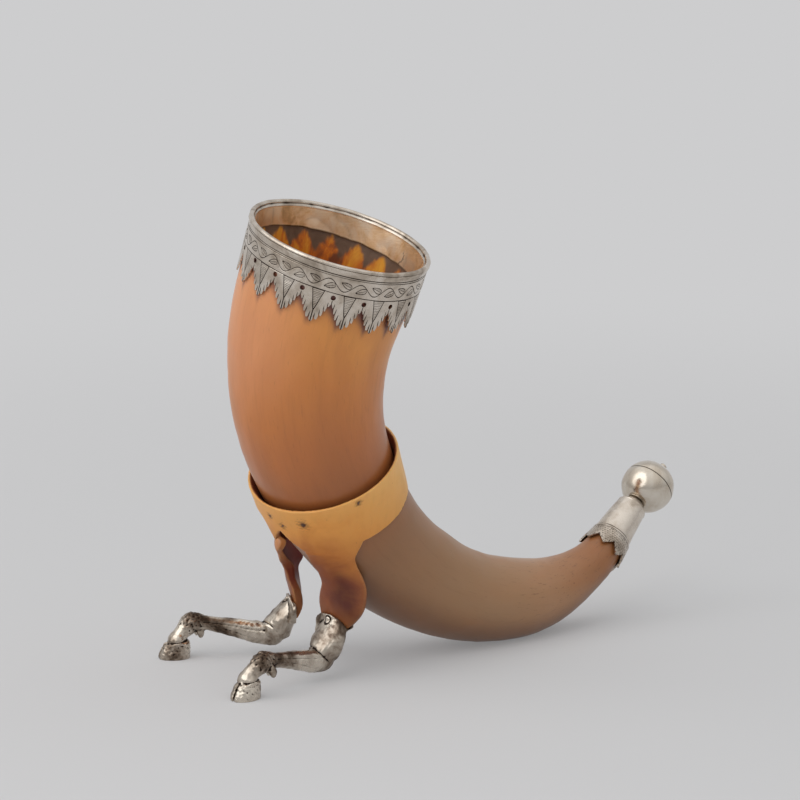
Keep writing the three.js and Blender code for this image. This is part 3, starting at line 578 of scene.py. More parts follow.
def srgb(red, green, blue):
    def linear(c):
        c /= 255
        return c / 12.92 if c <= 0.04045 else ((c + 0.055) / 1.055) ** 2.4
    return (linear(red), linear(green), linear(blue), 1)


class Nodes:
    """Builds a material's nodes."""

    def __init__(self, name):
        self.material = bpy.data.materials.new(name)
        self.material.use_nodes = True
        self.tree = self.material.node_tree
        self.shader = self.tree.nodes["Principled BSDF"]

    def link(self, value, socket):
        if isinstance(value, bpy.types.NodeSocket):
            self.tree.links.new(value, socket)
        else:
            socket.default_value = value

    def node(self, kind, **inputs):
        """A new node with its inputs set or linked, their names written with underscores."""
        node = self.tree.nodes.new("ShaderNode" + kind)
        for name, value in inputs.items():
            self.link(value, node.inputs[name.replace("_", " ")])
        return node

    def attribute(self, name, output="Fac"):
        node = self.node("Attribute")
        node.attribute_name = name
        return node.outputs[output]

    def position(self):
        return self.node("TexCoord").outputs["Object"]

    def stretch(self, vector, scale):
        return self.node("Mapping", Vector=vector, Scale=scale).outputs["Vector"]

    def noise(self, vector, scale, detail=4, roughness=0.55, distortion=0):
        return self.node("TexNoise", Vector=vector, Scale=scale, Detail=detail,
                         Roughness=roughness, Distortion=distortion).outputs["Fac"]

    def between(self, value, low, high, to_low=0.0, to_high=1.0):
        node = self.node("MapRange", Value=value, From_Min=low, From_Max=high,
                         To_Min=to_low, To_Max=to_high)
        node.interpolation_type = "SMOOTHSTEP"
        return node.outputs["Result"]

    def maths(self, operation, *values):
        node = self.node("Math")
        node.operation = operation
        for value, socket in zip(values, node.inputs):
            self.link(value, socket)
        return node.outputs["Value"]

    def ramp(self, value, stops):
        node = self.node("ValToRGB", Fac=value)
        elements = node.color_ramp.elements
        while len(elements) < len(stops):
            elements.new(0.5)
        for element, (place, *colour) in zip(elements, stops):
            element.position = place
            element.color = srgb(*colour)
        return node.outputs["Color"]

    def mix(self, share, first, second):
        node = self.node("Mix")
        node.data_type = "RGBA"
        self.link(share, node.inputs["Factor"])
        self.link(first, node.inputs[6])
        self.link(second, node.inputs[7])
        return node.outputs[2]

    def layers(self, colour, stops):
        """Lays colours over each other; each grows with its own value, from low to high."""
        for value, low, high, most, *over in stops:
            colour = self.mix(self.between(value, low, high, 0, most), colour, srgb(*over))
        return colour

    def bump(self, height, distance, strength, under=None):
        node = self.node("Bump", Height=height, Distance=distance * MM, Strength=strength)
        if under is not None:
            self.link(under, node.inputs["Normal"])
        return node.outputs["Normal"]

    def finish(self, **sockets):
        for name, value in sockets.items():
            self.link(value, self.shader.inputs[name.replace("_", " ")])
        return self.material


def silver(name, bright, dull, tarnish, dirt, roughness=0.24, scratch=0.5, grain=0.06):
    """Worn silver: bright on what stands out, dull and dark in what lies deep."""
    n = Nodes(name)
    place = n.position()
    clouds = n.noise(place, 90, 5, 0.6, 0.4)
    specks = n.noise(place, 900, 3, 0.6)
    recess = n.attribute("recess")
    cut = n.attribute("cut")
    low = n.maths("ADD", n.between(recess, 0.08, 0.7), n.between(cut, 0.25, 0.9))
    stained = n.maths("MULTIPLY", n.between(clouds, 0.5, 0.7), dirt)
    specked = n.between(specks, 0.66, 0.8, 0, 0.35 * dirt)
    low = n.maths("MINIMUM", n.maths("ADD", n.maths("ADD", low, stained), specked), 1.0)
    tone = n.mix(n.between(clouds, 0.35, 0.65), srgb(*bright), srgb(*dull))
    colour = n.mix(low, tone, srgb(*tarnish))
    lines = n.noise(n.stretch(place, (1, 1, 9)), 260, 2, 0.5)
    rough = n.between(n.maths("ADD", clouds, n.maths("MULTIPLY", low, 0.8)), 0.3, 1.3,
                      roughness, roughness + 0.3)
    normal = n.bump(lines, grain, scratch)
    normal = n.bump(clouds, 0.5, 0.25, normal)
    return n.finish(Base_Color=colour, Metallic=1.0, Roughness=rough, Normal=normal)


def horn_finish():
    """Amber at the mouth, browner to the bend and grey-brown along the tail."""
    n = Nodes("horn_outside")
    straight = n.attribute("straight", "Vector")
    along = n.attribute("along")
    fibres = n.noise(n.stretch(straight, (1, 1, 0.06)), 420, 5, 0.6)
    clouds = n.noise(n.stretch(straight, (1, 1, 0.35)), 38, 4, 0.55, 0.6)
    marks = n.noise(n.stretch(straight, (1, 1, 0.1)), 1500, 2, 0.7)
    drift = n.maths("ADD", along, n.between(clouds, 0.2, 0.8, -0.025, 0.025))
    body = n.ramp(drift, [
        (0.0, 200, 128, 66), (0.09, 226, 150, 72), (0.17, 212, 132, 62),
        (0.26, 186, 110, 54), (0.33, 156, 92, 48), (0.44, 146, 104, 68),
        (0.6, 158, 122, 86), (0.76, 170, 126, 88), (0.9, 150, 98, 56),
        (1.0, 130, 84, 50),
    ])
    streaked = n.layers(body, [
        (n.attribute("belly"), 0.3, 1.0, 0.55, 226, 156, 118),
        # painted shade: the underside of the tail is painted darker
        (n.attribute("under"), 0.0, 1.0, 0.75, 112, 70, 40),
        (clouds, 0.35, 0.75, 0.28, 170, 108, 62),
        (fibres, 0.5, 0.75, 0.1, 104, 64, 40),
    ])
    tail = n.between(along, 0.62, 0.85)
    scratches = n.maths("MULTIPLY", n.between(marks, 0.6, 0.72), n.between(tail, 0, 1, 0.12, 0.6))
    colour = n.mix(scratches, streaked, srgb(88, 56, 38))
    # Dark purple-brown just below the band's teeth: partly a stain on the horn, partly painted shadow
    # under the teeth.
    edge = n.maths("MULTIPLY", n.attribute("stain"), n.between(clouds, 0.36, 0.56, 0.5, 1.0))
    colour = n.mix(edge, colour, srgb(104, 58, 56))
    rough = n.between(clouds, 0.3, 0.7, 0.34, 0.46)
    normal = n.bump(fibres, 0.05, 0.5)
    normal = n.bump(marks, 0.04, 0.5, normal)
    return n.finish(Base_Color=colour, Roughness=rough, Normal=normal, Subsurface_Weight=0.12,
                    Subsurface_Radius=(1.0, 0.45, 0.2), Subsurface_Scale=0.003,
                    Coat_Weight=0.18, Coat_Roughness=0.22)


def hollow_finish():
    """Inside of the horn: painted shade behind the silver, and painted light, in colour and a little
    emission, where light would shine through.
    """
    n = Nodes("horn_inside")
    straight = n.attribute("straight", "Vector")
    patches = n.noise(n.stretch(straight, (1, 1, 0.5)), 120, 4, 0.6, 0.8)
    glow = n.attribute("glow")
    lit = n.between(n.maths("ADD", glow, n.between(patches, 0.3, 0.7, -0.34, 0.3)), 0.2, 0.95)
    flame = n.ramp(patches, [(0.34, 122, 60, 30), (0.48, 186, 100, 30), (0.64, 214, 152, 48)])
    dark = n.ramp(patches, [(0.3, 92, 70, 54), (0.7, 128, 104, 88)])
    colour = n.mix(lit, dark, flame)
    normal = n.bump(patches, 0.25, 0.5)
    # painted light: a little emission where the inside is painted lit, though the horn is no lamp
    emission = n.maths("MULTIPLY", lit, 0.12)
    return n.finish(Base_Color=colour, Roughness=0.4, Normal=normal, Emission_Color=flame,
                    Emission_Strength=emission)


def collar_finish():
    """Pale yellow horn above, dark red-brown where the thighs thicken."""
    n = Nodes("collar_horn")
    place = n.position()
    clouds = n.noise(place, 55, 5, 0.55, 0.5)
    fibres = n.noise(n.stretch(place, (1, 1, 0.12)), 520, 4, 0.6)
    spots = n.noise(place, 700, 3, 0.65)
    height = n.maths("ADD", n.attribute("height"), n.between(clouds, 0.2, 0.8, -0.07, 0.07))
    body = n.ramp(height, [
        (0.0, 132, 88, 54), (0.1, 140, 82, 48), (0.2, 138, 74, 46),
        (0.33, 148, 80, 42), (0.42, 190, 116, 52), (0.55, 230, 158, 78),
        (0.8, 244, 188, 110), (1.0, 252, 206, 138),
    ])
    body = n.mix(n.attribute("dark"), body, srgb(80, 34, 30))
    streaked = n.layers(body, [
        (clouds, 0.45, 0.72, 0.3, 196, 132, 66), (fibres, 0.5, 0.7, 0.06, 150, 92, 50),
    ])
    # painted shade: the inward faces of the collar's upper part are painted dark red
    inside = n.mix(n.attribute("inside"), streaked, srgb(112, 34, 22))
    marked = n.mix(n.attribute("pinned"), inside, srgb(84, 44, 36))
    colour = n.layers(marked, [
        (n.attribute("recess"), -0.1, -0.7, 0.35, 222, 170, 112),
        (spots, 0.68, 0.78, 0.4, 104, 60, 38),
    ])
    rough = n.maths("ADD", n.between(clouds, 0.3, 0.7, 0.36, 0.5),
                    n.maths("MULTIPLY", n.attribute("inside"), 0.5))
    normal = n.bump(clouds, 0.25, 0.3)
    normal = n.bump(spots, 0.03, 0.5, normal)
    return n.finish(Base_Color=colour, Roughness=rough, Normal=normal, Subsurface_Weight=0.12,
                    Subsurface_Radius=(1.0, 0.5, 0.2), Subsurface_Scale=0.002,
                    Specular_IOR_Level=0.35)


SILVER = silver("silver_mounts", (222, 212, 200), (188, 174, 158), (54, 44, 38), dirt=0.3)
SILVER_CAST = silver("silver_legs", (214, 204, 190), (126, 108, 92), (46, 36, 30), dirt=0.75,
                     roughness=0.26)
SILVER_BALL = silver("silver_ball", (220, 212, 200), (204, 192, 176), (110, 92, 74), dirt=0.1,
                     roughness=0.16, scratch=0.25, grain=0.03)
SILVER_INSIDE = silver("silver_liner", (238, 218, 194), (228, 188, 140), (92, 68, 48), dirt=0.3,
                       roughness=0.38)
PIN_METAL = silver("pin_metal", (120, 104, 92), (84, 66, 56), (44, 32, 28), dirt=0.9,
                   roughness=0.4)
HORN = horn_finish()
HOLLOW = hollow_finish()
COLLAR = collar_finish()


# Horn

def tooth_phase(angle):
    """Place of an angle from one tooth's tip, at 0, to the next tip, at 1."""
    return ((angle - TOOTH_TURN) / TOOTH_PITCH) % 1


def flame_depth(angle):
    """How far the band's teeth reach down the horn at an angle."""
    return BAND_DEPTH - TOOTH_LENGTH * (1 - np.abs(2 * tooth_phase(angle) - 1)) ** 0.5


def make_horn():
    angles = circle(HORN_SIDES)
    out_at = np.linspace(line.length, 0, int(line.length / HORN_STEP) + 1)
    closed = HOLLOW_LENGTH - HOLLOW_TAPER_LENGTH
    tail = closed + HOLLOW_TAPER_LENGTH * np.sin(np.linspace(0, 1.5, 18))
    in_at = np.concatenate([np.linspace(0, closed, 100)[:-1], tail])
    radius_out = line.at(out_at)[4]
    radius_in = hollow_radius(in_at)
    outer = rings(out_at, radius_out, HORN_SIDES)
    inner = rings(in_at, radius_in, HORN_SIDES)
    out_dir = unit(outer - line.at(out_at)[0][:, None])
    free = smoothstep(24, 40, out_at) * smoothstep(line.length - 24, line.length - 36, out_at)
    uneven = 0.22 * wobble(outer, 34, 3) + 0.07 * wobble(outer, 9, 4)
    outer = outer - out_dir * ((np.abs(uneven) * free[:, None])[..., None])
    outer[..., 2] = np.maximum(outer[..., 2], 0)
    loops = np.concatenate([outer, inner])
    horn = loft("horn", loops)
    at = np.concatenate([out_at, in_at])
    radii = np.concatenate([radius_out, radius_in])
    grid_at, grid_angle = np.meshgrid(at, angles, indexing="ij")
    grid_radius = np.repeat(radii[:, None], HORN_SIDES, axis=1)
    straight = np.stack([grid_radius * np.cos(grid_angle), grid_radius * np.sin(grid_angle),
                         grid_at], axis=-1) * MM
    belly = np.clip(np.cos(grid_angle) * smoothstep(90, 30, grid_at), 0, 1)
    # under: where the tail's underside is painted darker as shade
    under = smoothstep(0.0, 0.95, np.cos(grid_angle)) * smoothstep(100, 150, grid_at)
    reach = flame_depth(grid_angle)
    # painted light inside: bright below the outline of the band's teeth, with painted shade above it
    glow = smoothstep(reach - 1 - FLAME_RISE, reach + 3.5 - FLAME_RISE, grid_at)
    glow *= smoothstep(60, 20, grid_at)
    # Darker just below the band's teeth: partly a stain, partly painted shadow under the teeth.
    stain = smoothstep(reach + 6.5, reach + 1, grid_at) * 0.95
    add_numbers(horn, straight=straight, along=grid_at / line.length, belly=belly, under=under,
                glow=glow, stain=stain)
    inside_from = (len(out_at) - 1) * HORN_SIDES
    slots = [1 if k >= inside_from else 0 for k in range(len(horn.data.polygons) - 2)]
    dress(horn, "horn_body", "horn", HORN, HOLLOW)
    horn.data.polygons.foreach_set("material_index", slots + [0, 1])
    return horn


make_horn()


# Rim mount

mouth_centre, mouth_tangent, mouth_side, mouth_belly, mouth_radius = (
    v[0] for v in line.at(0))
BAND_OUTER = mouth_radius + RIM_SEAT + SHEET
TOOTH_HALF = math.pi * mouth_radius / TOOTH_COUNT


def about_mouth(angle, radius, depth):
    around = (mouth_belly * np.cos(angle)[..., None] + mouth_side * np.sin(angle)[..., None])
    return mouth_centre + around * radius[..., None] + mouth_tangent * depth[..., None]


def leaf_edge(angle):
    """Depth of the band's lower edge: fingered half leaves that run down to each tip."""
    share = np.abs(2 * tooth_phase(angle) - 1)
    finger = (share * LEAF_FINGERS) % 1
    tip = np.sqrt(np.clip(1 - np.abs(2 * finger - 1) ** 1.7, 0, 1))
    grow = np.clip(share * 3, 0, 1) * (1 - 0.5 * smoothstep(0.85, 1, share))
    envelope = BAND_DEPTH - TOOTH_LENGTH * (1 - share) ** LEAF_FULLNESS
    return envelope - FINGER_LENGTH * grow * (1 - tip) + band_skew(angle)


def band_skew(angle):
    return BAND_SKEW * np.cos(angle - BAND_SKEW_TURN)


def stroke(distance, width):
    """1 on a cut line, fading to 0 at its width."""
    return smoothstep(width, width * 0.35, np.abs(distance))


def border_vine(x, depth):
    """A wavy stem with a pointed, half-shaded leaf in each bend."""
    middle = (BORDER_LINES[1] + BORDER_LINES[2]) / 2
    cut = stroke(depth - middle - VINE_REACH * np.sin(math.pi * x / TOOTH_HALF), 0.3)
    for start, way in ((0, -1), (-TOOTH_HALF, 1)):
        dx, dy = x - start - 0.4, depth - middle
        slope = way * VINE_LEAF_SLOPE
        size = math.hypot(1, slope)
        along, off = (dx + slope * dy) / size, (dy - slope * dx) / size
        share = np.clip(along / VINE_LEAF_LENGTH, 0, 1)
        half = 2.6 * VINE_LEAF_HALF * np.sqrt(share) * (1 - share)
        inside = (share > 0) & (share < 1) & (np.abs(off) < half)
        outline = stroke(np.abs(off) - half, 0.24) * ((share > 0) & (share < 1))
        rib = stroke(off, 0.15) * inside
        shade = 0.7 * stroke(((along / 0.5) % 1 - 0.5) * 0.5, 0.16) * (inside & (off * way > 0))
        for part in (outline, rib, shade):
            cut = np.maximum(cut, part)
    return cut


def engraving(angle, depth):
    """How deep the band is cut, 0 to 1."""
    phase = tooth_phase(angle)
    x = (np.where(phase > 0.5, phase - 1, phase)) * 2 * TOOTH_HALF
    y = depth - band_skew(angle) * depth / BAND_DEPTH
    lines = [stroke(y - place, width) for place, width in zip(BORDER_LINES, BORDER_WIDTHS)]
    top = BORDER_LINES[2]
    vine = 0.9 * border_vine(x, y) * ((y > BORDER_LINES[1]) & (y < top))
    half = WEDGE_HALF * (WEDGE_POINT - y) / (WEDGE_POINT - top)
    wedge = (y > top) & (y < WEDGE_POINT)
    wedge_edge = stroke(np.abs(x) - half, 0.24) * wedge
    hatch = stroke(((y / HATCH_PITCH) % 1 - 0.5) * HATCH_PITCH, 0.17)
    hatch = 0.75 * hatch * (wedge & (np.abs(x) < half))
    midrib = stroke(x, 0.22) * (y > WEDGE_POINT - 0.3)
    inward = leaf_edge(angle) - band_skew(angle) - y
    leaf = (y > LEAF_LINES_FROM) & (np.abs(x) > half + 0.4)
    finger = ((1 - np.abs(x) / TOOTH_HALF) * LEAF_FINGERS) % 1
    finger_width = TOOTH_HALF / LEAF_FINGERS
    gaps = stroke(np.minimum(finger, 1 - finger) * finger_width, 0.26) * smoothstep(1.7, 0.7, inward)
    veins = stroke(np.abs(finger - 0.5) * finger_width, 0.12)
    veins = 0.45 * veins * smoothstep(2.0, 0.9, inward) * smoothstep(0.2, 0.5, inward)
    return np.max([*lines, vine, wedge_edge, hatch, midrib, gaps * leaf, veins * leaf], axis=0)


def make_band():
    columns = COLUMNS_PER_TOOTH * TOOTH_COUNT
    angles = TOOTH_TURN + circle(columns)
    upper = np.linspace(-SEAT, BORDER_ZONE, 62)
    lower = np.linspace(0, 1, 46)[1:]
    edge = leaf_edge(angles)
    depth = np.concatenate([
        np.repeat(upper[:, None], columns, axis=1),
        BORDER_ZONE + (edge[None] - BORDER_ZONE) * lower[:, None]])
    angle = np.repeat(angles[None], len(depth), axis=0)
    gap = TOOTH_TURN + (np.arange(TOOTH_COUNT) + 0.5) * TOOTH_PITCH
    gap_depth = BAND_DEPTH - TOOTH_LENGTH + band_skew(gap) - PIERCING_ABOVE_NOTCH
    keep = np.ones((len(depth) - 1, columns), bool)
    middle_angle = angle[:-1] + math.pi / columns
    middle_depth = (depth[:-1] + depth[1:]) / 2
    for a, d in zip(gap, gap_depth):
        away = turn_from(a, angle) * BAND_OUTER
        middle_away = turn_from(a, middle_angle) * BAND_OUTER
        gone = np.hypot(middle_away, middle_depth - d) < PIERCING_RADIUS
        keep &= ~gone
        distance = np.hypot(away, depth - d)
        corners = np.zeros(depth.shape, int)
        for di in (0, 1):
            for dj in (0, 1):
                corners[di:di + len(gone)] += np.roll(gone, dj, axis=1)
        rim = (corners > 0) & (corners < 4)
        scale = PIERCING_RADIUS / np.maximum(distance, 0.05)
        new_away = np.where(rim, away * scale, away)
        depth = np.where(rim, d + (depth - d) * scale, depth)
        angle = np.where(rim, a + new_away / BAND_OUTER, angle)
    cut = engraving(angle, depth)
    share = np.clip(depth / BAND_DEPTH, 0, 1.1)
    radius = BAND_OUTER - BAND_TAPER * share
    phase = tooth_phase(angle)
    lean = np.clip((depth - BORDER_ZONE) / (BAND_DEPTH - BORDER_ZONE), 0, 1) ** 1.5
    fan = FINGER_FAN * np.sin(math.pi * np.abs(2 * phase - 1)) * np.sign(0.5 - phase) * lean
    angle = angle + fan / BAND_OUTER
    rng = np.random.default_rng(8)
    bends = np.resize(rng.uniform(-0.25, 0.15, TOOTH_COUNT), TOOTH_COUNT + 1)
    place = (angle - TOOTH_TURN) % (2 * math.pi) / TOOTH_PITCH
    bend = np.interp(place, np.arange(TOOTH_COUNT + 1), bends)
    radius = radius + bend * smoothstep(13, 22, depth)
    dents = 0.05 * wobble(about_mouth(angle, radius, depth), 11, 5)
    outer = about_mouth(angle, radius + dents - ENGRAVING_DEPTH * cut, depth)
    inner = about_mouth(angle, radius + dents - SHEET, depth)
    band = sheet("band", outer, inner, (cut, 0 * cut), keep)
    return dress(band, "rim_band", "silver", SILVER, crease=50)


def make_lip():
    outside = BAND_OUTER + LIP_OVERHANG - 0.1
    inside = mouth_radius - HORN_EDGE_WALL - SEAT - LINER_SHEET
    middle = outside - LIP_BEAD
    base = SEAT + 0.02
    shoulder = LIP_HEIGHT - LIP_BEAD
    bead = arc(middle, shoulder, LIP_BEAD, LIP_BEAD, math.pi, 0, 25)
    side = [(inside + (middle - LIP_BEAD - inside) * float(smoothstep(0, 1, w)),
             base + (shoulder - base) * w) for w in np.linspace(0, 0.95, 9)]
    groove = [(outside - 0.05, shoulder - 0.15), (outside - 0.3, shoulder - 0.3),
              (outside - 0.05, shoulder - 0.45), (outside, shoulder - 0.75), (outside - 0.05, base)]
    profile = [*side, *bead, *groove, (middle, base)]
    lip = turned("lip", profile, mouth_centre, -mouth_tangent, 240)
    points = points_of(lip)
    around = unit(split(points, mouth_centre, mouth_tangent)[1])
    points -= around * np.abs(0.12 * wobble(points, 16, 11))[:, None]
    points += mouth_tangent * np.abs(0.12 * wobble(points, 22, 12))[:, None]
    set_shape(lip, points, 8, 0.1)
    return dress(lip, "rim_lip", "silver", SILVER)


def make_liner():
    sides = 240
    at = np.concatenate([[-SEAT], np.linspace(0.1, LINER_DEPTH, 26)])
    angles = circle(sides)
    wave = 0.35 * wobble(np.stack([34 * np.cos(angles), 34 * np.sin(angles), 0 * angles], 1), 14, 21)
    depth = at[:, None] - np.abs(wave)[None] * smoothstep(3, LINER_DEPTH, at)[:, None]
    radius = hollow_radius(np.maximum(depth, 0).ravel()).reshape(depth.shape) - SEAT
    centre, around = spokes(depth, angles)
    radius = radius - 0.064 * np.abs(wobble(centre + around * LINER_RADIUS, 9, 22))
    outer = centre + around * radius[..., None]
    inner = centre + around * (radius - LINER_SHEET)[..., None]
    rng = np.random.default_rng(31)
    crack = np.zeros(depth.shape)
    for a in rng.uniform(0, 2 * math.pi, 6):
        bent = a + 0.025 * np.sin(depth * 1.1 + a * 5)
        gap = turn_from(bent, angles[None]) * LINER_RADIUS
        crack = np.maximum(crack, 0.7 * stroke(gap, 0.9) * smoothstep(0.5, 4, depth))
    edge = smoothstep(LINER_DEPTH - 1.2, LINER_DEPTH, at)[:, None] * np.ones(depth.shape)
    marks = np.maximum(crack, 0.8 * edge)
    liner = sheet("liner", outer, inner, (marks, marks))
    return dress(liner, "rim_liner", "silver_inside", SILVER_INSIDE)


make_band()
make_lip()
make_liner()


# Collar

collar_centre, collar_tangent, collar_side, collar_belly, collar_horn_radius = (
    v[0] for v in line.at(COLLAR_FROM_MOUTH))
collar_axis = turn_about(turn_about(collar_tangent, collar_belly, -COLLAR_LEAN), collar_side,
                         COLLAR_PITCH)
COLLAR_RADIUS = collar_horn_radius + COLLAR_GAP + COLLAR_EDGE_WALL
belt_side = unit(np.array([0, 1, 0]) - collar_axis * collar_axis[1])
belt_belly = np.cross(belt_side, collar_axis)


def belt_radius(height):
    return COLLAR_RADIUS - BELT_TAPER * height / BELT_HEIGHT


def belt_point(height, angle, radius):
    around = belt_belly * math.cos(angle) + belt_side * math.sin(angle)
    return collar_centre + collar_axis * height + around * radius


def make_belt():
    sides = 200

    def row(share, depth):
        height = share * BELT_HEIGHT
        return [belt_point(height, a, belt_radius(height) - depth) for a in circle(sides)]

    def wall(share):
        return COLLAR_EDGE_WALL + (COLLAR_WALL - COLLAR_EDGE_WALL) * min(1, share / BELT_EDGE_SHARE)

    down = np.linspace(0, 1, 22)
    return ring_loft("belt", [*[row(s, 0) for s in down],
                              *[row(s, wall(s)) for s in down[::-1]]])


def edge_share(side):
    """Thickness of a thigh's edges, as a share of its wall."""
    return THIGH_EDGE_SHARE if side < 0 else FAR_EDGE_SHARE


def thigh_row(z, x, out, turn, front, back, wall, bow, side):
    a = math.radians(turn)
    return dict(
        centre=np.array([x, side * out, z]),
        out=np.array([-math.cos(a), side * math.sin(a), 0]),
        along=np.array([math.sin(a), side * math.cos(a), 0]),
        front=front, back=back, wall=wall, bow=bow, edge=edge_share(side))


def belt_row(share, turn, front, back, side):
    height = share * BELT_HEIGHT
    a = side * math.radians(turn)
    middle = belt_radius(height) - COLLAR_WALL / 2
    axis_point = collar_centre + collar_axis * height
    return dict(
        centre=belt_point(height, a, middle),
        out=belt_point(height, a, 1) - axis_point,
        along=belt_point(height, a + side * math.pi / 2, 1) - axis_point,
        front=front, back=back, wall=COLLAR_WALL - 0.1, bow=middle, edge=edge_share(side))


def fill_rows(rows, each):
    """More rows between the given ones, along smooth curves."""
    t = np.linspace(0, 1, (len(rows) - 1) * each + 1)
    curve = {key: spline([row[key] for row in rows], t) for key in rows[0]}
    filled = []
    for k in range(len(t)):
        out = unit(curve["out"][k])
        along = curve["along"][k]
        along = unit(along - out * (along @ out))
        filled.append(dict(
            centre=curve["centre"][k], out=out, along=along,
            **{key: curve[key][k, 0] for key in ("front", "back", "wall", "bow", "edge")}))
    return filled


def row_loop(row, grow, columns=26):
    """Outline of a thigh at one row: a bowed strip with rounded edges."""
    shares = 0.5 - 0.5 * np.cos(np.linspace(0, math.pi, columns))
    to_edge = np.minimum(shares, 1 - shares) / THIGH_EDGE_WIDTH
    swell = row["edge"] + (1 - row["edge"]) * np.sqrt(
        np.clip(1 - (1 - np.minimum(to_edge, 1)) ** 2, 0, 1))
    half = row["wall"] / 2 + grow
    front, back = row["front"] - grow, row["back"] + grow
    along = front + (back - front) * shares
    turn = along / row["bow"]

    def face(sign):
        radius = row["bow"] + sign * half * swell
        return (row["centre"] + row["out"] * (radius * np.cos(turn) - row["bow"])[:, None]
                + row["along"] * (radius * np.sin(turn))[:, None])
    return np.concatenate([face(1), face(-1)[::-1]])


def make_thigh(name, side, grow=0.0):
    joint, upper = (NEAR_JOINT, NEAR_UPPER) if side < 0 else (FAR_JOINT, FAR_UPPER)
    rows = [*[belt_row(*row, side) for row in joint],
            *[thigh_row(*row, side) for row in [*upper, *THIGH_ROWS]]]
    loops = [row_loop(row, grow) for row in fill_rows(rows, 8)]
    if grow > 0:
        loops.append(loops[-1] - np.array([0, 0, grow]))
    return loft(name, loops)


def prism(name, outline, origin, across, up, depth):
    out = np.cross(across, up)
    flat = origin + np.array([across * x + up * y for x, y in outline])
    return loft(name, [flat, flat + out * depth])


def make_notch():
    out = belt_point(BELT_HEIGHT, -NOTCH_TURN, 1) - belt_point(BELT_HEIGHT, 0, 0)
    up = -collar_axis
    across = np.cross(up, out)
    shares = np.linspace(NOTCH_APEX_SHARE, 1, 20)

    def flank(width, hollow, way):
        return [*[(way * width * s**hollow, NOTCH_RISE * (1 - s)) for s in shares],
                (way * width, -1)]
    outline = [*flank(*NOTCH_NEAR, 1), *flank(*NOTCH_FAR, -1)[::-1]]
    reach = 10
    origin = belt_point(BELT_HEIGHT, -NOTCH_TURN, belt_radius(BELT_HEIGHT) - reach)
    return prism("notch", outline, origin, across, up, 2 * reach)


def sway(obj, by_height, far_from):
    """Moves the front of a piece back, from a place on towards its far side."""
    points = points_of(obj)
    front = smoothstep(*SWAY_FRONT, points[:, 0])
    far = smoothstep(*far_from, points[:, 1])
    points[:, 0] += np.interp(points[:, 2], *by_height) * front * far
    set_points(obj, points)


def make_horn_room():
    """The room that the horn takes up inside the collar."""
    at = np.linspace(COLLAR_FROM_MOUTH - BELT_HEIGHT, COLLAR_FROM_MOUTH + 3 * BELT_HEIGHT, 60)
    return loft("room", rings(at, line.at(at)[4] + SEAT, 160))


def pin_marks(points):
    """Where the horn is dark and worn away round the pins, 0 to 1."""
    pinned = np.zeros(len(points))
    for depth, turn, radius in COLLAR_PINS.values():
        at = belt_point(depth, math.radians(turn), belt_radius(depth))
        ragged = radius * (1.15 + 0.4 * wobble(points, 1.3, 43))
        pinned = np.maximum(pinned, 0.4 * near(points, at, 2.4 * ragged, 0.8 * ragged))
        pinned = np.maximum(pinned, near(points, at, ragged, 0.5 * ragged))
    return pinned


def thigh_shade(points):
    """Where each thigh is dark at its thickest, 0 to 1."""
    dark = np.zeros(len(points))
    for side in (-1, 1):
        row = thigh_row(*THIGH_ROWS[0], side)
        away = (points - row["centre"]) @ row["along"] - SHADE_AT[0]
        lift = points[:, 2] - SHADE_AT[1]
        own = points[:, 1] * side > 0
        spread = np.hypot(away / SHADE_SIZE[0], lift / SHADE_SIZE[1])
        spread = spread + 0.2 * wobble(points, 8, 44)
        dark = np.maximum(dark, 0.85 * smoothstep(1.25, 0.2, spread) * own)
    return dark


def make_collar():
    collar = make_belt()
    sway(collar, BELT_SWAY, BELT_SWAY_FROM)
    for side in (-1, 1):
        thigh = make_thigh("thigh", side)
        if side > 0:
            sway(thigh, FAR_SWAY, FAR_SWAY_FROM)
        combine(collar, thigh, "UNION")
    combine(collar, make_notch(), "DIFFERENCE")
    combine(collar, make_horn_room(), "DIFFERENCE")
    melt(collar, COLLAR_SKIN, 14)
    points = points_of(collar)
    normals = normals_of(collar)
    push = -0.12 * np.abs(wobble(points, 18, 41)) - 0.04 * np.abs(wobble(points, 5, 42))
    pinned = pin_marks(points)
    push = push - 0.15 * pinned
    points = points + normals * push[:, None]
    set_shape(collar, points, 10, 0.25)
    radial = split(points, collar_centre, collar_axis)[1]
    facing = np.einsum("ij,ij->i", normals, unit(radial))
    height = points[:, 2]
    low, high = height.min(), height.max()
    # inside: the inward faces of the upper collar, painted dark as shade
    add_numbers(collar, pinned=pinned, dark=thigh_shade(points), height=(height - low) / (high - low),
                inside=0.9 * smoothstep(0.1, -0.5, facing) * smoothstep(26, 34, height))
    return dress(collar, "stand_collar", "collar_horn", COLLAR, crease=180)


make_collar()


# Pins of the collar

def pin_profile(radius, length, crown, steps, start, end):
    """A straight shank in some steps, and a crown on it from one angle to another."""
    shank = [(radius, h) for h in np.linspace(0, length, steps)]
    return [(0, 0), *shank, *arc(0, length, radius, crown, start, end, 8), (0, length + crown)]


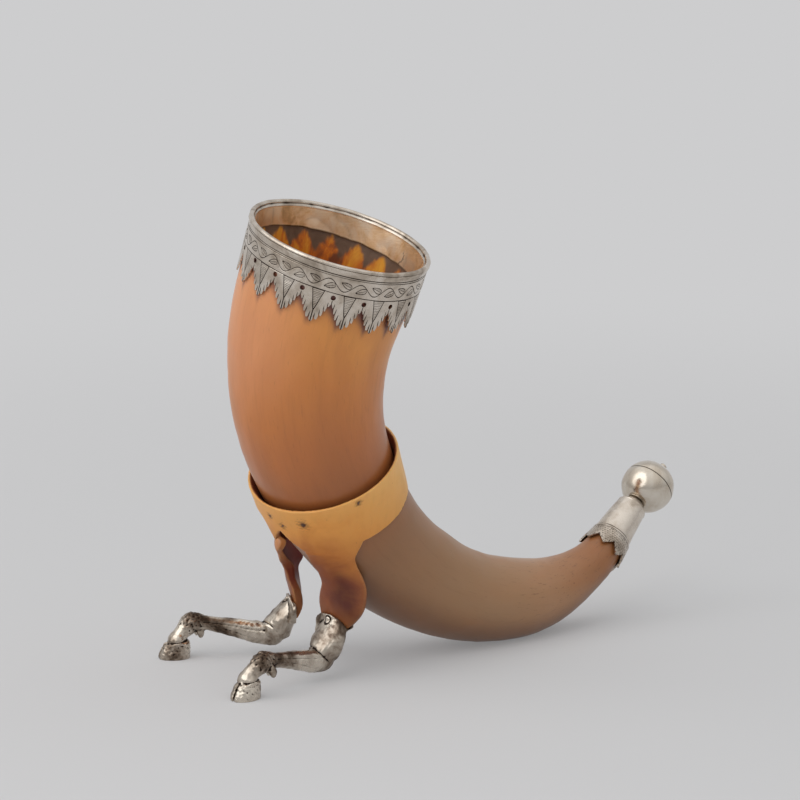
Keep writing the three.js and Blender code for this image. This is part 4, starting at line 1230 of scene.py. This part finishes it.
def make_collar_pin(name, depth, turn, radius):
    radius *= PIN_WEAR
    a = math.radians(turn)
    outside = belt_radius(depth)
    start = belt_point(depth, a, outside - COLLAR_WALL - COLLAR_GAP - COLLAR_PIN_DEPTH)
    axis = unit(belt_point(depth, a, 1) - belt_point(depth, a, 0))
    length = COLLAR_WALL + COLLAR_GAP + COLLAR_PIN_DEPTH
    profile = pin_profile(radius, length - PIN_CROWN, PIN_CROWN, 10, 0.2, 1.4)
    pin = turned(name, profile, start, axis, 40)
    points = points_of(pin)
    along, radial = split(points, start, axis)
    chewed = 1 - 0.22 * np.abs(wobble(points, 1.4, len(name) + 50)) * smoothstep(
        length - 1.5, length, along)
    set_shape(pin, start + np.outer(along, axis) + radial * chewed[:, None], 4, 0.15)
    return dress(pin, name, "pin", PIN_METAL)


for pin_name, facts in COLLAR_PINS.items():
    make_collar_pin(pin_name, *facts)


# Legs

def leg_path(joints, side):
    joints = np.asarray(joints, float)
    return joints[:, :3] * np.array([1, side, 1]), joints[:, 3:]


def limb(name, joints, side, sides=28):
    path, sizes = leg_path(joints, side)
    hock = leg_path(LEG_CANNON, side)[0][1]
    fetlock = leg_path(LEG_PASTERN, side)[0][1]
    sideways = unit(np.cross(hock - fetlock, [0, 0, 1]))
    t = np.linspace(0, 1, (len(joints) - 1) * 8 + 1)
    centre, size = spline(path, t), spline(sizes, t)
    tangent = heading(path, t)
    wide = unit(sideways - tangent * (tangent @ sideways)[:, None])
    deep = np.cross(tangent, wide)
    a = circle(sides)
    loops = (centre[:, None] + deep[:, None] * (size[:, :1] * np.cos(a))[..., None]
             + wide[:, None] * (size[:, 1:] * np.sin(a))[..., None])
    return loft(name, loops)


def make_claw(name, side, way):
    ahead = np.array([-math.cos(HOOF_SPLAY), side * math.sin(HOOF_SPLAY), 0])
    across = np.cross([0, 0, 1], ahead) * way
    coronet = leg_path(LEG_PASTERN, side)[0][3] * np.array([1, 1, 0])
    width = (HOOF_WIDTH - CLEFT_WIDTH) / 2
    rows = spline([(z, size, shift) for z, size, shift in HOOF_ROWS], np.linspace(0, 1, 25))
    a = np.linspace(0, math.pi, 30)
    loops = []
    for z, size, shift in rows:
        forward = HOOF_LENGTH / 2 * size * np.cos(a) + HOOF_FORWARD - shift
        sideways = CLEFT_WIDTH / 2 + width * size * np.sin(a)
        loops.append(coronet + ahead * forward[:, None] + across * sideways[:, None]
                     + np.array([0, 0, max(z, 0)]))
    return loft(name, loops)


def make_socket(side):
    row = thigh_row(*THIGH_ROWS[SOCKET_ROW], side)
    mirrored = 1 if side < 0 else -1
    across = row["along"] * mirrored
    up = np.array([0, 0, 1.0])
    reach = 14
    outline = [(mirrored * along, z) for along, z in SOCKET_OUTLINE]
    origin = row["centre"] * np.array([1, 1, 0]) - np.cross(across, up) * reach
    block = prism("block", outline, origin, across, up, 2 * reach)
    socket = combine(make_thigh("socket", side, SEAT + SOCKET_WALL), block, "INTERSECT")
    if side > 0:
        outline = [(mirrored * along, z) for along, z in FAR_CHEEK_CUT]
        combine(socket, prism("cheek", outline, origin, across, up, reach), "DIFFERENCE")
    return socket


def leg_details(points, side):
    """Grooves between tendons, round the hoofs and behind the hock, in millimetres."""
    cannon = leg_path(LEG_CANNON, side)[0]
    start, end = cannon[1], cannon[5]
    axis = unit(end - start)
    t = ((points - start) @ axis) / np.linalg.norm(end - start)
    middle = spline(cannon[1:6], np.clip(t, 0, 1))
    radial = points - middle
    sideways = unit(np.cross(start - end, [0, 0, 1]))
    above = np.cross(axis, sideways)
    turn = np.degrees(np.arctan2(radial @ above * np.sign(above[2]), radial @ sideways))
    window = smoothstep(0.02, 0.2, t) * smoothstep(0.98, 0.86, t) * near(radial, 0, 8, 5)
    push = np.zeros(len(points))
    for place, depth in TENDON_GROOVES:
        away = (turn - place + 14 * np.sin(5 * t + 1) + 180) % 360 - 180
        push -= depth * hump(away, 11) * window
    for place, depth in SKIN_GROOVES:
        away = (turn - place + 8 * t + 180) % 360 - 180
        push -= depth * hump(away, 9) * window
    hoof = leg_path(LEG_PASTERN, side)[0][3]
    flat = np.linalg.norm((points - hoof)[:, :2], axis=1)
    coronet = points[:, 2] - HOOF_HEIGHT - 0.12 * (points - hoof)[:, 0]
    push -= 0.4 * hump(coronet, 0.45) * smoothstep(9, 7, flat)
    growth = np.sin(points[:, 2] * 4.2 + 1.5 * wobble(points, 4, 63))
    wall = smoothstep(0.8, 1.5, points[:, 2]) * smoothstep(6.6, 5.8, points[:, 2])
    push += 0.03 * growth * wall * smoothstep(9, 7, flat)
    hock = cannon[1] + np.array([-3.5, side * 0.5, 3.0])
    crease = (points - hock) @ unit(np.array([0.75, 0, 0.66]))
    push -= 0.45 * hump(crease, 0.5) * near(points, hock, 8, 5)
    fetlock = leg_path(LEG_PASTERN, side)[0][1]
    push += 0.2 * near(points, fetlock, 6.5, 4.5) * wobble(points, 1.7, 62)
    toe = smoothstep(8, 6, flat) * smoothstep(8, 6.5, points[:, 2])
    push += 0.1 * toe * wobble(points, 1.5, 64)
    return push


def rivet_head(side):
    """The middle of the rivet's head on the socket's face, and the way it faces."""
    row = thigh_row(*THIGH_ROWS[RIVET_ROW], side)
    at = row["centre"] + row["along"] * RIVET_AT[0]
    at[2] = RIVET_AT[1]
    return at + row["out"] * (row["wall"] / 2 + SEAT + SOCKET_WALL), row["out"]


def make_leg(name, side):
    leg = make_socket(side)
    parts = [limb("upper", LEG_UPPER, side), limb("cannon", LEG_CANNON, side),
             limb("pastern", LEG_PASTERN, side),
             make_claw("claw", side, -1), make_claw("claw", side, 1)]
    for spread in (-DEWCLAW_SPREAD, DEWCLAW_SPREAD):
        out = LEG_PASTERN[1][1] + spread
        parts.append(limb("dewclaw", [(x, out, z, d, w) for x, _, z, d, w in DEWCLAW], side, 16))
    for part in parts:
        combine(leg, part, "UNION")
    combine(leg, make_thigh("room", side, SEAT), "DIFFERENCE")
    melt(leg, LEG_SKIN, 9)
    points, normals = points_of(leg), normals_of(leg)
    push = leg_details(points, side)
    push += 0.09 * wobble(points, 5, 60) + 0.05 * wobble(points, 1.8, 61) - 0.08
    head, facing = rivet_head(side)
    along, radial = split(points, head, facing)
    away = np.linalg.norm(radial, axis=1)
    ring = stroke(away - RIVET_RADIUS - 0.25, 0.5) * (np.abs(along) < 2)
    push -= 0.2 * ring
    standing = smoothstep(0.0, 0.5, points[:, 2])
    points = points + normals * (push * standing)[:, None]
    points[:, 2] = np.maximum(points[:, 2], 0)
    add_numbers(leg, cut=ring)
    set_shape(leg, points, 10, 0.13)
    return dress(leg, name, "silver_cast", SILVER_CAST, crease=180)


def make_rivet(name, side):
    head, facing = rivet_head(side)
    plates = 2 if side < 0 else 1
    length = THIGH_ROWS[RIVET_ROW][6] + plates * (SEAT + SOCKET_WALL)
    start = head - facing * length
    profile = pin_profile(RIVET_RADIUS, length, RIVET_HEAD_HEIGHT, 8, 0.25, 1.35)
    rivet = turned(name, profile, start, facing, 48)
    points = points_of(rivet)
    set_shape(rivet, points + 0.05 * normals_of(rivet) * wobble(points, 1.5, 70)[:, None], 5, 0.12)
    return dress(rivet, name, "silver_cast", SILVER_CAST)


for side_name, side in (("near", -1), ("far", 1)):
    make_leg(side_name + "_leg", side)
    make_rivet(side_name + "_leg_rivet", side)


# Tip mount

tip_centre, tip_tangent, _, _, tip_radius = (v[0] for v in line.at(line.length))
ferrule_start = line.length - FERRULE_LENGTH
neck_start = FERRULE_CAP + SEAT
ball_centre = tip_centre + tip_tangent * (
    neck_start + NECK_LENGTH + math.sqrt(BALL_RADIUS**2 - NECK_SEAT**2))


def make_ferrule():
    columns = 24 * SKIRT_TEETH
    angles = circle(columns)
    phase = (angles / (2 * math.pi) * SKIRT_TEETH) % 1
    share = np.abs(2 * phase - 1)
    finger = (share * 4) % 1
    tooth = 0.9 * share + 0.1 * np.sqrt(np.clip(1 - (2 * finger - 1) ** 2, 0, 1))
    edge = ferrule_start + SKIRT_TOOTH_LENGTH * (1 - tooth)
    skirt_end = ferrule_start + SKIRT_LENGTH
    rows = np.linspace(0, 1, 34)
    skirt = edge[None] + (skirt_end - edge[None]) * rows[:, None]
    upper = np.linspace(skirt_end + 0.12, line.length + FERRULE_CAP - FERRULE_CAP_ROUND, 40)
    at = np.concatenate([skirt, np.repeat(upper[:, None], columns, axis=1)])
    step = smoothstep(skirt_end + 0.1, skirt_end - 0.05, at)
    flare = SKIRT_PROUD + SEAT * smoothstep(skirt_end, ferrule_start, at)
    base = line.at(at.ravel())[4].reshape(at.shape)
    radius = base + SEAT + SHEET + flare * step
    from_edge = at - edge[None]
    cut = np.maximum(stroke(at - skirt_end + 0.9, 0.22), stroke(at - skirt_end + 1.5, 0.18))
    row_number = np.floor(at / SKIRT_SCALE)
    across = (angles[None] * SKIRT_TEETH * 3 / math.pi + 0.5 * (row_number % 2)) % 1 - 0.5
    scales = stroke(at / SKIRT_SCALE - row_number - 4 * across**2, 0.3)
    cut = np.maximum(cut, 0.75 * scales * (at < skirt_end - 1.8) * (from_edge > 0.4))
    strokes = stroke(((angles * SKIRT_TEETH * 5 / math.pi) % 1 - 0.5)[None] * 1.2, 0.25)
    cut = np.maximum(cut, strokes * smoothstep(1.5, 0.3, from_edge))
    centre, around = spokes(at, angles)
    flat = radius - 0.1 * np.abs(wobble(centre + around * radius[..., None], 6, 81))
    outer = centre + around * (flat - 0.1 * cut)[..., None]
    inner = centre + around * (flat - SHEET)[..., None]
    ferrule = sheet("ferrule", outer, inner, (cut, 0 * cut))
    return dress(ferrule, "tip_ferrule", "silver", SILVER, crease=50)


def make_ferrule_end():
    end_radius = tip_radius + SEAT + SHEET
    round_at = FERRULE_CAP - FERRULE_CAP_ROUND
    bore = STUD_RADIUS + SEAT
    corner = arc(end_radius - FERRULE_CAP_ROUND, round_at, FERRULE_CAP_ROUND, FERRULE_CAP_ROUND,
                 0, 1.5, 8)
    profile = [(bore, round_at - 0.5), (end_radius - 0.2, round_at - 0.5), *corner,
               ((end_radius + bore) / 2, FERRULE_CAP), (bore, FERRULE_CAP)]
    cap = turned("cap", profile, tip_centre, tip_tangent, 96)
    add_recess(cap, 4, 0.12)
    dress(cap, "tip_ferrule", "silver", SILVER)
    cap.name = "tip_ferrule_end_visual"


def make_half_ball(name, direction):
    seam = direction * BALL_SEAM + SEAT / 2
    bore = STUD_RADIUS + SEAT
    inside = BALL_RADIUS - BALL_SHEET
    outer = arc(0, 0, BALL_RADIUS, BALL_RADIUS, math.asin(seam / BALL_RADIUS),
                math.acos(bore / BALL_RADIUS), 60)
    inner = arc(0, 0, inside, inside, math.acos(bore / inside), math.asin(seam / inside), 20)
    profile = [*outer, *inner]
    ball = turned("ball", profile, ball_centre, tip_tangent * direction, 160)
    points = points_of(ball)
    inward = unit(ball_centre - points)
    height = (points - ball_centre) @ tip_tangent * direction
    edge = smoothstep(seam + 0.5, seam, height)
    dents = 0.12 * np.abs(wobble(points, 12, 91)) + 0.1 * edge
    add_numbers(ball, cut=edge * 0.6)
    set_shape(ball, points + inward * dents[:, None], 4, 0.15)
    return dress(ball, name, "silver", SILVER_BALL, crease=60)


def make_neck():
    bore = STUD_RADIUS + SEAT
    top = NECK_LENGTH - SEAT
    outline = spline([(NECK_RADIUS, 0), (NECK_WAIST, 0.5 * top), (NECK_TOP, top)],
                     np.linspace(0, 1, 16))
    profile = [(bore, 0), *[tuple(p) for p in outline], (bore, top - SEAT)]
    neck = turned("neck", profile, tip_centre + tip_tangent * neck_start, tip_tangent, 96)
    add_numbers(neck, cut=np.full(len(neck.data.vertices), 0.5))
    add_recess(neck, 4, 0.12)
    return dress(neck, "finial_neck", "silver", SILVER)


def make_button():
    start = ball_centre + tip_tangent * (BALL_RADIUS - 0.1)
    outline = spline([(BUTTON_RADIUS, 0), (BUTTON_RADIUS, 0.5 * BUTTON_HEIGHT),
                      (0.8 * BUTTON_RADIUS, 0.85 * BUTTON_HEIGHT), (0.2, BUTTON_HEIGHT)],
                     np.linspace(0, 1, 24))
    button = turned("button", [(0, 0), *[tuple(p) for p in outline], (0, BUTTON_HEIGHT)],
                    start, tip_tangent, 64)
    points = points_of(button)
    push = -0.15 * np.abs(wobble(points, 2.2, 95))
    set_shape(button, points + normals_of(button) * push[:, None], 4, 0.12)
    return dress(button, "finial_button", "silver", SILVER_BALL)


make_ferrule()
make_ferrule_end()
make_half_ball("finial_ball_lower", -1)
make_half_ball("finial_ball_upper", 1)
make_neck()
make_button()
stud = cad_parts["finial_stud"]
stud.data.materials.clear()
stud.data.materials.append(SILVER)


# Floor, light and camera

def floor_finish():
    """Matt grey near the object, where its shadow falls, lightened there by a share of painted light,
    and an even pale grey far from it.
    """
    n = Nodes("floor")
    n.finish(Base_Color=srgb(204, 204, 205), Roughness=0.9, Specular_IOR_Level=0.1)
    length = n.node("VectorMath", Vector=n.position())
    length.operation = "LENGTH"
    # Near the object 0.3 of what is seen is even emission, painted light that lifts the shadow; far
    # from it all of it is.
    far = n.between(length.outputs["Value"], 0.2, 0.9, 0.3, 1.0)
    rays = n.node("LightPath").outputs
    seen = n.maths("MAXIMUM", rays["Is Camera Ray"],
                   n.maths("MAXIMUM", rays["Is Glossy Ray"], rays["Is Transmission Ray"]))
    pale = n.node("Emission", Color=srgb(205, 205, 206))
    mixed = n.node("MixShader", Fac=n.maths("MULTIPLY", far, seen))
    n.link(n.shader.outputs["BSDF"], mixed.inputs[1])
    n.link(pale.outputs["Emission"], mixed.inputs[2])
    n.link(mixed.outputs["Shader"], n.tree.nodes["Material Output"].inputs["Surface"])
    return n.material


def make_floor():
    """A pale floor that curves up into the backdrop far behind."""
    reach, level, rise, bend = 9000, 3000, 7000, 2500
    a = np.linspace(0, math.pi / 2, 24)
    depth = [-reach, level, *(level + bend * np.sin(a)), level + bend]
    height = [0, 0, *(bend * (1 - np.cos(a))), rise]
    rows = []
    for d, h in zip(depth, height):
        middle = -VIEW_BACK * d + np.array([0, 0, h])
        rows.append([middle - VIEW_RIGHT * reach, middle + VIEW_RIGHT * reach])
    rows = np.array(rows)
    floor = new_object("floor", rows, grid_faces(len(rows), 2, closed=False))
    floor.data.materials.append(floor_finish())
    floor.data.polygons.foreach_set("use_smooth", [True] * len(floor.data.polygons))


def make_lamp():
    lamp = bpy.data.lights.new("key", "AREA")
    lamp.shape = "DISK"
    lamp.size = LAMP_SIZE
    lamp.energy = LAMP_POWER
    obj = bpy.data.objects.new("key", lamp)
    right, back, up = LAMP_PLACE
    place = VIEW_RIGHT * right + VIEW_BACK * back + np.array([0, 0, up])
    obj.location = CAMERA_TARGET * MM + place
    obj.rotation_mode = "QUATERNION"
    obj.rotation_quaternion = Vector(-place).to_track_quat("-Z", "Y")
    bpy.context.scene.collection.objects.link(obj)


def make_world():
    world = bpy.data.worlds.new("studio")
    bpy.context.scene.world = world
    world.use_nodes = True
    tree = world.node_tree
    background = tree.nodes["Background"]
    background.inputs["Color"].default_value = (1, 1, 1, 1)
    direction = tree.nodes.new("ShaderNodeTexCoord").outputs["Generated"]
    parts = tree.nodes.new("ShaderNodeSeparateXYZ")
    tree.links.new(direction, parts.inputs["Vector"])
    strength = tree.nodes.new("ShaderNodeMapRange")
    tree.links.new(parts.outputs["Z"], strength.inputs["Value"])
    for name, value in zip(("To Min", "To Max"), SKY_STRENGTH):
        strength.inputs[name].default_value = value
    tree.links.new(strength.outputs["Result"], background.inputs["Strength"])


def make_camera():
    e = CAMERA_ELEVATION
    back = VIEW_BACK * math.cos(e) + np.array([0, 0, math.sin(e)])
    data = bpy.data.cameras.new("camera")
    data.lens = CAMERA_LENS
    data.sensor_width = 36
    data.clip_end = 100
    camera = bpy.data.objects.new("camera", data)
    camera.location = (CAMERA_TARGET + back * CAMERA_DISTANCE) * MM
    camera.rotation_mode = "QUATERNION"
    camera.rotation_quaternion = Vector(-back).to_track_quat("-Z", "Y")
    bpy.context.scene.collection.objects.link(camera)
    bpy.context.scene.camera = camera


make_floor()
make_world()
make_lamp()
make_camera()
bpy.context.scene.view_settings.view_transform = "Standard"
